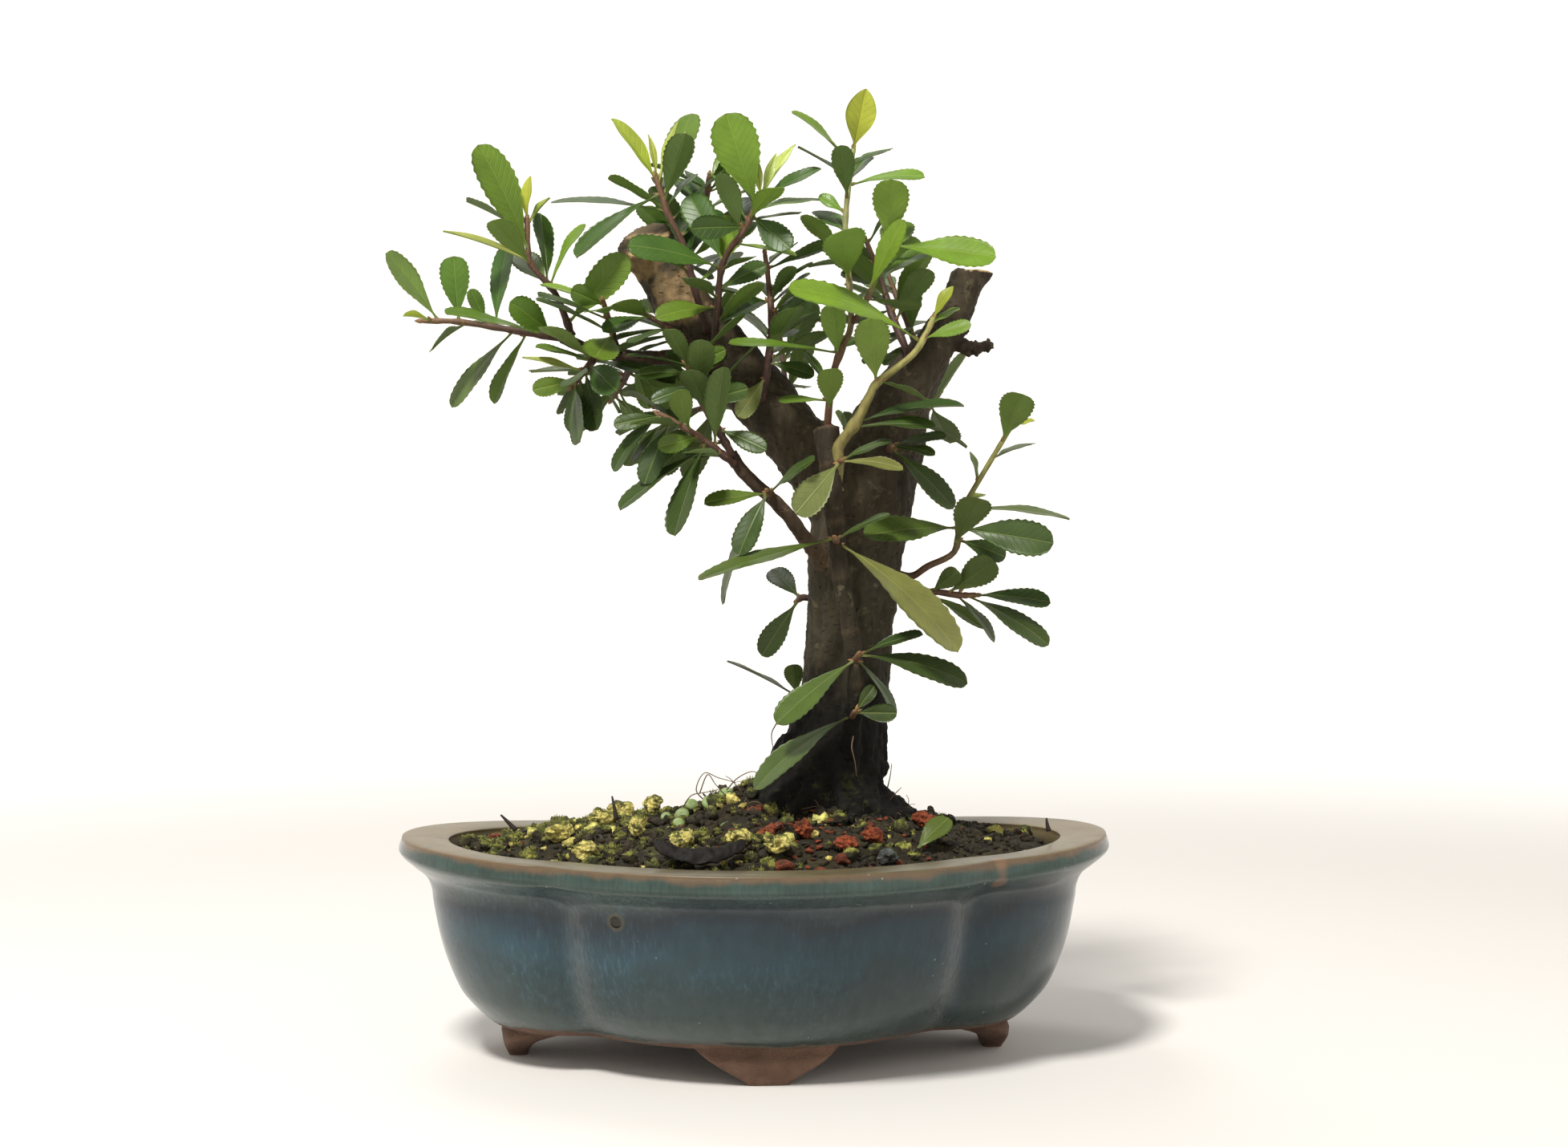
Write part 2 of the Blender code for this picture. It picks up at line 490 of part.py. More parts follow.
class Item:
    """One placed thing: its owner, its shape whole and without its stalk, and its box."""

    def __init__(self, owner, verts, faces, outer=None):
        self.owner = owner
        self.full = BVHTree.FromPolygons(verts, faces)
        self.outer = BVHTree.FromPolygons(*outer) if outer else self.full
        self.lo = [min(v[i] for v in verts) for i in range(3)]
        self.hi = [max(v[i] for v in verts) for i in range(3)]

    def meets(self, other):
        for i in range(3):
            if self.lo[i] > other.hi[i] or other.lo[i] > self.hi[i]:
                return False
        if self.owner == other.owner:
            return bool(self.outer.overlap(other.outer))
        return bool(self.full.overlap(other.full))


def leaf_stations(leaf, grow, count):
    """Middle, half width and wave of each of a coarse blade's cross lines, which are 2, 3 or 4."""
    base, u, n = leaf["base"], leaf["u"], leaf["n"]
    length, half, stalk = leaf["length"], leaf["width"] / 2, leaf["stalk"]
    rows = [(0.0, 0.0), (stalk + 0.07, 0.3), (stalk + (1 - stalk) * 0.42, 0.9),
            (stalk + (1 - stalk) * 0.78, 0.94)]
    if count == 3:
        rows.pop(1)
    if count == 2:
        rows = [(0.0, 0.0), (stalk + (1 - stalk) * 0.6, 0.96)]
    out = []
    for i, (t, w) in enumerate(rows):
        mid = base + u * (length * t) + n * (leaf["camber"] * length * t * (1 - t) * 4)
        out.append((mid, max(half * w, STALK) + grow,
                    leaf["wave"] * (0, 0, -1, 1)[i - len(rows)]))
    return out


def leaf_mesh(leaf, grow=0.0, count=4, skip=0):
    """A coarse blade with its stalk: both faces cut into the same triangles."""
    n, s = leaf["n"], leaf["s"]
    up = n * (BLADE / 2 + grow)
    rows = leaf_stations(leaf, grow, count)[skip:]
    tip = leaf["base"] + leaf["u"] * (leaf["length"] * leaf["tip"] + grow)
    top = []
    for mid, half, wave in rows:
        top.append(mid - s * half + n * wave)
        top.append(mid + s * half - n * wave)
    top.append(tip)
    count = len(top)
    verts = [p + up for p in top] + [p - up for p in top]
    flat = []
    for i in range(len(rows) - 1):
        a = 2 * i
        flat += [(a, a + 1, a + 3), (a, a + 3, a + 2)]
    flat.append((count - 3, count - 2, count - 1))
    edge = [2 * i for i in range(len(rows))] + [count - 1]
    edge += [2 * i + 1 for i in reversed(range(len(rows)))]
    faces = list(flat) + [tuple(reversed([i + count for i in f])) for f in flat]
    for i, a in enumerate(edge):
        b = edge[(i + 1) % len(edge)]
        faces.append((a, b, b + count))
        faces.append((a, b + count, a + count))
    return verts, faces


def leaf_item(owner, leaf, grow):
    verts, faces = leaf_mesh(leaf, grow)
    return Item(owner, verts, faces, leaf_mesh(leaf, grow, skip=1))


def sample(points, radii, step=0.5):
    """Points every step along a route, with tangent and radius."""
    out = []
    for a, b, ra, rb in zip(points, points[1:], radii, radii[1:]):
        count = max(1, int((b - a).length / step))
        for i in range(count):
            f = i / count
            out.append((a.lerp(b, f), (b - a).normalized(), ra + (rb - ra) * f))
    out.append((points[-1], (points[-1] - points[-2]).normalized(), radii[-1]))
    return out


def nearest_wood(p, wood):
    """The nearest spot on any piece of wood, and how far outside it p lies: 0 inside."""
    best = None
    for tree in wood:
        spot, normal, index, dist = tree.find_nearest(p, 60.0)
        if spot is None:
            continue
        if (p - spot).dot(normal) < -0.2 * dist:
            return spot, 0.0
        if best is None or dist < best[1]:
            best = (spot, dist)
    return best


def around(p, t, r):
    """Points on the ring of radius r about p, square to t, and p itself."""
    side = t.orthogonal().normalized()
    other = t.cross(side)
    return [p] + [p + (side * math.cos(a) + other * math.sin(a)) * r
                  for a in (0, 1.05, 2.09, 3.14, 4.19, 5.24)]


def cut_back(points, radii, run):
    """What is left of a route from the distance run on."""
    keep, keep_r = [], []
    for a, b, ra, rb in zip(points, points[1:], radii, radii[1:]):
        length = (b - a).length
        if keep:
            keep.append(b)
            keep_r.append(rb)
        elif run < length - 0.6:
            f = run / length
            keep, keep_r = [a.lerp(b, f), b], [ra + (rb - ra) * f, rb]
        run -= length
    return keep, keep_r


def clip_root(points, radii, wood):
    """Starts a twig GAP away from the wood that it grows on, and first lengthens one that is short."""
    spot, far = nearest_wood(points[0], wood)
    if far > GAP:
        points = [spot + (spot - points[0]).normalized() * 0.8] + points
        radii = [radii[0]] + radii
    run = 0.0
    for i, (p, t, r) in enumerate(sample(points, radii, 0.1)):
        if i > 160:
            break
        if min(nearest_wood(q, wood)[1] for q in around(p, t, r)) < GAP:
            run = 0.1 * (i + 1)
    for more in range(20):
        keep, keep_r = cut_back(points, radii, run + 0.2 * more)
        twig = BVHTree.FromPolygons(*tube(keep, [r + GAP / 2 for r in keep_r], 5))
        if not any(twig.overlap(tree) for tree in wood):
            break
    return keep, keep_r


def make_leaf(base, u, n, length, width, rng, kind, stalk=0.14, rows=4):
    u = u.normalized()
    n = (n - u * n.dot(u)).normalized()
    if n.z < -0.25:
        n = -n
    return {"base": base, "u": u, "n": n, "s": u.cross(n), "length": length, "width": width,
            "stalk": stalk, "camber": rng.uniform(0.02, 0.06) * CAMBER_SHARE[rows],
            "wave": rng.uniform(-0.35, 0.35) if rows > 2 else 0.0,
            "tip": 0.955 if kind == "k" else 1.0, "kind": kind, "rows": rows}


def noted_leaf(note, lines, rng, shift=0.0, roll_more=0.0):
    """A leaf from its note in the front view, rooted on the nearest point of its twig."""
    ra, rd, ta, td, width, dd, kind = note
    best = None
    for line in lines:
        for p, t, r in line:
            va, vd, depth = view_of(p)
            d = (va - ra) ** 2 + (vd - rd) ** 2
            if best is None or d < best[0]:
                best = (d, p, depth)
    base, depth = best[1], best[2]
    scale = (EYE_BACK + depth) / STEP
    off = math.sqrt(best[0]) * scale
    dd += shift
    tip = seen(ta, td, depth + dd)
    axis = tip - base
    wide = width * scale
    flat = axis.length
    if wide > 0.5 * flat:
        more = math.sqrt(max((wide / 0.46) ** 2 - flat * flat, 0.0))
        tip = seen(ta, td, depth + dd - 0.7 * more)
        axis = tip - base
    length = axis.length
    toward = turned(0, -1, 0)
    side = axis.cross(toward).normalized()
    face = side.cross(axis).normalized()
    if face.dot(toward) < 0:
        face = -face
    full = max(wide, length * (0.37 if kind != "p" else 0.2))
    roll = math.acos(min(wide / full, 1.0)) + roll_more
    choices = [face * math.cos(roll) + side * math.sin(roll) * sign for sign in (1, -1)]
    normal = max(choices, key=lambda v: v.z)
    return make_leaf(base, axis, normal, length, full, rng, kind, min(max(off / length, 0.13), 0.4),
                     4 if width >= FULL_FORM else 3)


def ruled_leaf(line, at, azimuth, rng, kind, lengths):
    """A leaf placed by rule on its twig, turned about it by azimuth."""
    p, t, r = line[min(int(at * (len(line) - 1)), len(line) - 1)]
    side = t.orthogonal().normalized()
    out = side * math.cos(azimuth) + t.cross(side) * math.sin(azimuth)
    u = t * rng.uniform(0.35, 0.8) + out + Vector((0, 0, rng.uniform(-0.25, 0.3)))
    n = Vector((0, 0, 1.0)) + t * 0.5 + Vector((rng.uniform(-0.4, 0.4), rng.uniform(-0.4, 0.4), 0))
    length = rng.uniform(*lengths)
    return make_leaf(p, u, n, length, length * rng.uniform(0.36, 0.46), rng, kind, rows=2)


def fits(leaf, shoot, placed):
    """Adds the leaf to its shoot if it stays clear of all that is placed."""
    item = leaf_item(shoot["name"], leaf, GAP)
    if any(item.meets(other) for other in placed):
        return False
    placed.append(leaf_item(shoot["name"], leaf, 0.0))
    shoot["leaves"].append(leaf)
    return True


def tree_layout():
    """Every shoot's twigs and leaves, set clear of each other and of the wood."""
    rng = random.Random(SEED)
    wood_meshes = [loft(trunk_rings())]
    wood_meshes += [tube(*t) for t in wood_tubes()]
    wood = [BVHTree.FromPolygons(v, f) for v, f in wood_meshes]
    placed = [Item("wood", v, f) for v, f in wood_meshes]
    shoots = []
    for name, colour, routes, notes, extra in SHOOTS:
        tubes, lines = [], []
        for i, route in enumerate(routes):
            points = [seen(*p) for p in route]
            total = len(points) - 1
            start = 1.25 if len(points) > 3 else 1.1
            radii = [start + (0.78 - start) * k / total for k in range(total + 1)]
            if i == 0:
                points, radii = clip_root(points, radii, wood)
            else:
                radii = [0.95 + (0.75 - 0.95) * k / total for k in range(total + 1)]
            tubes.append((points, radii))
            lines.append(sample(points, radii))
            placed.append(Item(name, *tube(points, radii, 5)))
        shoots.append({"name": name, "colour": colour, "tubes": tubes, "lines": lines, "leaves": [],
                       "notes": notes, "extra": extra, "missed": 0})
    for shoot in shoots:
        for note in shoot["notes"]:
            for shift, roll in TRIES:
                if fits(noted_leaf(note, shoot["lines"], rng, shift, roll), shoot, placed):
                    break
            else:
                shoot["missed"] += 1
    for shoot in shoots:
        line = shoot["lines"][0] + (shoot["lines"][1] if len(shoot["lines"]) > 1 else [])
        wanted = shoot["extra"]
        azimuth = rng.uniform(0, math.tau)
        for i in range(wanted):
            at = 0.22 + 0.76 * (i + 0.5) / wanted
            for attempt in range(EXTRA_TRIES):
                azimuth += 2.4
                kind = rng.choice("dmd" if shoot["colour"] == "dark" else "mbd")
                spot = min(max(at + rng.uniform(-0.08, 0.08), 0.12), 0.985)
                leaf = ruled_leaf(line, spot, azimuth, rng, kind, EXTRA_LENGTHS)
                if fits(leaf, shoot, placed):
                    break
            else:
                shoot["missed"] += 1
    by_name = {shoot["name"]: shoot for shoot in shoots}
    for name, wanted in FILL:
        shoot = by_name[name]
        for i in range(wanted):
            for attempt in range(FILL_TRIES):
                spot, azimuth = rng.uniform(0.1, 0.98), rng.uniform(0, math.tau)
                leaf = ruled_leaf(shoot["lines"][0], spot, azimuth, rng, rng.choice("ddm"), FILL_LENGTHS)
                if fits(leaf, shoot, placed):
                    break
            else:
                shoot["missed"] += 1
    for name, places in BARED:
        shoot = by_name[name]
        shoot["leaves"] = [leaf for i, leaf in enumerate(shoot["leaves"]) if i not in places]
    return shoots


def build_trunk():
    trunk = add_mesh("trunk", *loft(trunk_rings()))
    parts = [add_mesh("wood_%d" % i, *tube(*t)) for i, t in enumerate(wood_tubes())]
    join(trunk, parts)
    paint(trunk, (0.1, 0.085, 0.06), 0.8)
    return trunk


def build_soil():
    rng = random.Random(SEED + 2)
    side = [(o - 2 * GAP, z) for o, z in INNER if z < 54]
    rings = [pot_ring(o, z + (GAP if z == FLOOR_Z else 0)) for o, z in reversed(side)]
    edge = lobe_outline(SOIL_INSET)
    rings.append([Vector((p.x, p.y, SOIL_EDGE_Z + (p.z - SOIL_EDGE_Z) * 0.5))
                  for p in pot_ring(SOIL_INSET, SOIL_EDGE_Z)])
    for f in SOIL_RINGS:
        ring = []
        for x, y in edge:
            px, py = x * f, y * f
            ring.append(Vector((px, py, soil_height(px, py, f) + rng.uniform(-0.6, 0.6))))
        rings.append(ring)
    soil = add_mesh("soil", *loft(rings))
    cut(soil, add_mesh("root_hole", *loft(trunk_rings(GAP)[:HOLE_RINGS])))
    for x in (-DRAIN_X, DRAIN_X):
        h = SCREEN_HALF + GAP
        ring = [Vector((x - h, -h, 0)), Vector((x + h, -h, 0)), Vector((x + h, h, 0)),
                Vector((x - h, h, 0))]
        top = FLOOR_Z + 2 * GAP + SCREEN_THICK
        cut(soil, add_mesh("screen_hole", *loft([[p + Vector((0, 0, z)) for p in ring]
                                                 for z in (FLOOR_Z - 1, top)])))
    paint(soil, (0.022, 0.016, 0.011), 0.95)
    return soil


def stone_mesh(x, y, r, h, rng):
    bm = bmesh.new()
    bmesh.ops.create_icosphere(bm, subdivisions=1, radius=1.0)
    turn = rng.uniform(0, math.tau)
    verts = []
    for v in bm.verts:
        k = rng.uniform(0.82, 1.12)
        a, b = v.co.x * r * k, v.co.y * r * 0.78 * k
        verts.append(Vector((x + a * math.cos(turn) - b * math.sin(turn),
                             y + a * math.sin(turn) + b * math.cos(turn), v.co.z * h * k)))
    faces = [tuple(v.index for v in f.verts) for f in bm.faces]
    bm.free()
    return verts, faces


def drop_on(verts, faces, ground):
    """Lowers a shape from above until it all but meets the ground, and rests it GAP above."""
    low = min(v.z for v in verts)
    lift = DROP_FROM - low
    while lift + low > DROP_FROM - 40.0:
        tree = BVHTree.FromPolygons([v + Vector((0, 0, lift)) for v in verts], faces)
        if tree.overlap(ground):
            break
        lift -= DROP_STEP
    return [v + Vector((0, 0, lift + DROP_STEP + GAP)) for v in verts]


def bark_chip():
    """A curled strip of dead bark, hollow side down."""
    rings = []
    for i in range(6):
        f = i / 5
        x = -30.0 + 24.0 * f
        y = -50.0 - 3.0 * math.sin(math.pi * f)
        r = 3.4 - 1.2 * abs(2 * f - 1) ** 1.5
        ring = []
        for rad, angles in ((r + 0.6, (-1.25, -0.6, 0.0, 0.6, 1.25)),
                            (r - 0.6, (1.2, 0.6, 0.0, -0.6, -1.2))):
            for a in angles:
                ring.append(Vector((x, y + rad * math.sin(a), rad * math.cos(a))))
        rings.append(ring)
    return loft(rings)


def build_litter(soil):
    """Stones, bark and the loose leaf, each dropped on the soil."""
    rng = random.Random(SEED + 3)
    verts = [v.co / MM for v in soil.data.vertices]
    faces = [tuple(p.vertices) for p in soil.data.polygons]
    ground = BVHTree.FromPolygons(verts, faces)
    made = []
    for i, (x, y, r, h) in enumerate(PUMICE):
        shape = stone_mesh(x, y, r, h, rng)
        made.append(("pumice_%d" % (i + 1), shape, (0.42, 0.42, 0.2), 0.95))
    for i, (x, y, r, h) in enumerate(LAVA):
        shape = stone_mesh(x, y, r, h, rng)
        made.append(("lava_%d" % (i + 1), shape, (0.3, 0.075, 0.035), 0.9))
    made.append(("grey_stone", stone_mesh(*GREY, rng), (0.22, 0.24, 0.23), 0.8))
    made.append(("bark_chip", bark_chip(), (0.03, 0.022, 0.016), 0.85))
    leaf = make_leaf(Vector((40.0, -36.0, 0.0)), Vector((0.8, 0.42, 0.3)), Vector((-0.5, -0.5, 1.0)),
                     13.5, 6.4, rng, "b")
    made.append(("loose_leaf", leaf_mesh(leaf), (0.2, 0.34, 0.1), 0.5))
    for name, (vs, fs), colour, rough in made:
        obj = add_mesh(name, drop_on(vs, fs, ground), fs)
        paint(obj, colour, rough)


def build_shoots():
    for shoot in tree_layout():
        first = add_mesh(shoot["name"], *tube(*shoot["tubes"][0], 5))
        parts = [add_mesh("twig", *tube(*t, 5)) for t in shoot["tubes"][1:]]
        parts += [add_mesh("leaf", *leaf_mesh(leaf, count=leaf["rows"])) for leaf in shoot["leaves"]]
        if parts:
            join(first, parts)
        paint(first, COLOURS[shoot["colour"]], 0.5)
        print("shoot", shoot["name"], "leaves", len(shoot["leaves"]), "missed", shoot["missed"])


def main():
    for obj in list(bpy.data.objects):
        bpy.data.objects.remove(obj)
    build_pot()
    screen("screen_left", -DRAIN_X)
    screen("screen_right", DRAIN_X)
    soil = build_soil()
    build_trunk()
    build_litter(soil)
    build_shoots()


main()
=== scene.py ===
"""Dresses the firethorn bonsai with fine shapes and materials.

Lengths are millimetres up to the moment a piece is made; MM turns them into metres. The tree is
laid out by the same lines as its solids, then each blade, twig and stone gets its fine form.
"""
import json
import math
import random

import bmesh
import bpy
import numpy as np
from mathutils import Euler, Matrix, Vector, noise
from mathutils.bvhtree import BVHTree
from mathutils.geometry import tessellate_polygon


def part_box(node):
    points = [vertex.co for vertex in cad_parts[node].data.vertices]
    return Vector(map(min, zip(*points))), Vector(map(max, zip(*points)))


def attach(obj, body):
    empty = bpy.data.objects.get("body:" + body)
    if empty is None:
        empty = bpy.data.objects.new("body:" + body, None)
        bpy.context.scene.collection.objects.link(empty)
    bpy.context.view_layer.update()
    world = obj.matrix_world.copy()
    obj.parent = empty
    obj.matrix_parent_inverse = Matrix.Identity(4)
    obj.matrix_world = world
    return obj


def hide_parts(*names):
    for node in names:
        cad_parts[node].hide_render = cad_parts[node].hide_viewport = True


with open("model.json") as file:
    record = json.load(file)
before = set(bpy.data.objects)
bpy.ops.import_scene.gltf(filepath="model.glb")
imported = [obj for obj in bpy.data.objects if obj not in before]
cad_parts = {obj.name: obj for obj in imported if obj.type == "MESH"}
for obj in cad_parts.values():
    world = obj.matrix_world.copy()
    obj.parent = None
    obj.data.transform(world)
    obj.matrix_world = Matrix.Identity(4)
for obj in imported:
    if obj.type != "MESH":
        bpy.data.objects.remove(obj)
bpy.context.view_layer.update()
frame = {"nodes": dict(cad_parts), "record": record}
SLOTS = {part["node"]: part["material_slot"] for part in frame["record"]["subparts"]}

MM = 0.001
SEED = 41
GAP = 0.35                      # air between neighbouring pieces
# pot
LOBE_X, LOBE_R = 46.5, 45.5     # centre and radius of the two end lobes of the body
LONG_Y, LONG_R = 7.8, 74.8      # the same for the two long sides
RIM_LIFT = 2.9                  # upsweep of the lip at both ends
RIM_FROM = 44.0                 # the upsweep starts at this height
RIM_FLAT, RIM_LONG = 45.0, 55.0             # it is flat this far out, then rises this long
FLOOR_Z = 15.0
BASE_Z = 9.0
END_STEPS, LONG_STEPS = 88, 56
OUTER = ((-21.0, BASE_Z), (-18.4, 9.7), (-14.9, 12.3), (-11.0, 16.2), (-8.6, 19.6), (-5.8, 25.9),
         (-3.5, 33.0), (-1.6, 42.5), (-0.6, 47.6), (1.0, 49.6), (5.6, 50.4), (7.5, 52.0),
         (8.0, 54.6), (7.3, 57.4), (5.8, 58.6))
INNER = ((-4.6, 58.3), (-5.6, 56.8), (-6.4, 50.0), (-8.4, 36.0), (-12.0, 24.0), (-16.5, 17.4),
         (-22.0, FLOOR_Z))
FOOT_LEVELS = ((0.0, 5.8, 0.0, 5.4), (0.9, 6.4, 0.4, 5.9), (2.6, 9.2, 1.0, 7.4),
               (5.0, 13.4, 1.9, 9.6), (7.6, 17.6, 2.7, 12.6), (9.6, 19.8, 3.2, 15.4),
               (12.0, 20.0, 3.2, 16.0))     # height, half width, lean outwards, thickness
FOOT_END_X, FOOT_LONG_Y = 69.4, 47.4        # outer face of each foot where it stands
DRAIN_X, DRAIN_R = 34.0, 5.5
DRAIN_SIDES = 40
FLAW = (-39.7, -54.2, 44.4)     # a pinhole in the glaze
# soil
SOIL_EDGE_Z, SOIL_INSET = 55.2, -6.9
SOIL_ROWS = 64
GRAINS, ROOT_HAIRS, TWIG_ENDS = 2300, 46, 70
# tree
TREE_TURN = math.radians(-4.5)  # the tree stands turned in its pot
FLARE_X = 19.5                  # middle of the trunk's root flare
SAW_SLOPE = 0.62                # how far the left limb's sawn face leans forwards
SAW_DROP = 2.2
SKIN = 0.62                     # cell size of the trunk's fused surface
EYE_X, EYE_Z, EYE_BACK = 7.8, 135.0, 620.0
STEP = 2734.0                   # steps across per unit of slope
MID_ACROSS, MID_DOWN = 977.5, 710.0         # the middle of the front view, in those steps
BLADE = 0.7                     # thickness of a leaf
STALK = 0.48                    # half width of a leaf's stalk
FULL_FORM = 16                  # a leaf seen narrower than this has fewer cross lines
CAMBER_SHARE = {4: 1.0, 3: 0.75, 2: 0.4}    # how arched a leaf is, by its number of cross lines
EXTRA_LENGTHS, FILL_LENGTHS = (16.5, 24.5), (13.0, 20.0)    # shortest and longest ruled leaves
EXTRA_TRIES, FILL_TRIES = 14, 30
TRIES = ((0, 0), (-2.5, 0), (2.5, 0), (0, 0.35), (-5, 0), (5, 0), (-5, 0.5), (5, 0.5), (-9, 0),
         (9, 0.3), (-13, 0.3), (0, 0.8), (-17, 0.2), (13, 0.2))     # shifts in depth and rolls


def turned(x, y, z):
    c, s = math.cos(TREE_TURN), math.sin(TREE_TURN)
    return Vector((x * c - y * s, x * s + y * c, z))


def seen(across, down, depth):
    """A point noted in the front view, at its depth behind the pot's middle."""
    k = (EYE_BACK + depth) / STEP
    return turned(EYE_X + (across - MID_ACROSS) * k, depth, EYE_Z + (MID_DOWN - down) * k)


def view_of(p):
    """The reverse of seen: across, down and depth of a point."""
    c, s = math.cos(-TREE_TURN), math.sin(-TREE_TURN)
    x, y = p.x * c - p.y * s, p.x * s + p.y * c
    k = (EYE_BACK + y) / STEP
    return MID_ACROSS + (x - EYE_X) / k, MID_DOWN - (p.z - EYE_Z) / k, y


# The trunk from its buried crown up: x, y, z, half width, half depth
TRUNK = ((19.5, 0.0, 44.0, 15.0, 14.0), (19.5, 0.0, 52.0, 20.0, 17.5),
         (19.5, 0.0, 62.0, 22.6, 19.0), (19.4, 0.0, 69.0, 22.8, 19.0),
         (17.8, 0.0, 75.0, 19.4, 17.2), (20.2, 0.0, 80.5, 16.2, 15.0),
         (22.4, 0.0, 87.0, 14.2, 13.4), (24.8, 0.5, 101.4, 12.6, 12.2),
         (26.2, 1.0, 113.0, 12.2, 12.0), (26.8, 1.0, 124.0, 12.4, 12.2),
         (28.4, 1.0, 140.0, 13.2, 12.6), (30.6, 1.0, 154.0, 13.6, 12.4),
         (35.0, 1.0, 169.5, 12.2, 11.4), (39.9, 1.0, 182.8, 9.9, 9.6),
         (46.4, 0.5, 193.4, 8.2, 8.0), (53.0, 0.0, 202.5, 6.3, 6.3), (57.2, 0.0, 211.0, 5.4, 5.4),
         (61.2, 0.0, 219.4, 5.3, 5.2))
# Limb and stub: x, y, z, radius. Sucker and boughs: across, down, depth, radius
LEFT_LIMB = ((25.0, 1.0, 148.0, 8.5), (17.0, 1.5, 163.5, 8.8), (8.6, 2.0, 175.0, 8.9),
             (-1.8, 2.5, 187.4, 8.6), (-12.6, 3.0, 199.8, 8.1), (-22.4, 3.0, 212.4, 7.5),
             (-28.4, 3.0, 222.6, 7.3), (-33.0, 3.0, 231.2, 7.9))
SIDE_STUB = ((52.0, -1.0, 199.2, 2.6), (57.0, -1.0, 198.4, 2.0), (62.0, -1.0, 197.6, 1.9),
             (66.4, -1.0, 198.2, 1.6))
SUCKER = ((1058, 935, -8, 2.4), (1062, 905, -14, 2.3), (1067, 860, -18.5, 2.2),
          (1063, 803, -19.5, 2.1), (1051, 736, -20, 2.1), (1044, 676, -20.5, 2.1),
          (1040, 640, -20.5, 2.3), (1036, 590, -20, 2.6), (1030, 535, -17, 3.2))
BOUGHS = (
    ((905, 440, 0, 2.8), (868, 442, -3, 2.6), (822, 446, -5, 2.3), (780, 444, -6, 2.1),
     (735, 435, -7, 1.9), (700, 421, -9, 1.6)),
    ((1028, 700, -6, 2.6), (1004, 672, -13, 2.3), (977, 636, -17, 2.1), (931, 593, -19, 1.9),
     (912, 565, -20, 1.7)),
)
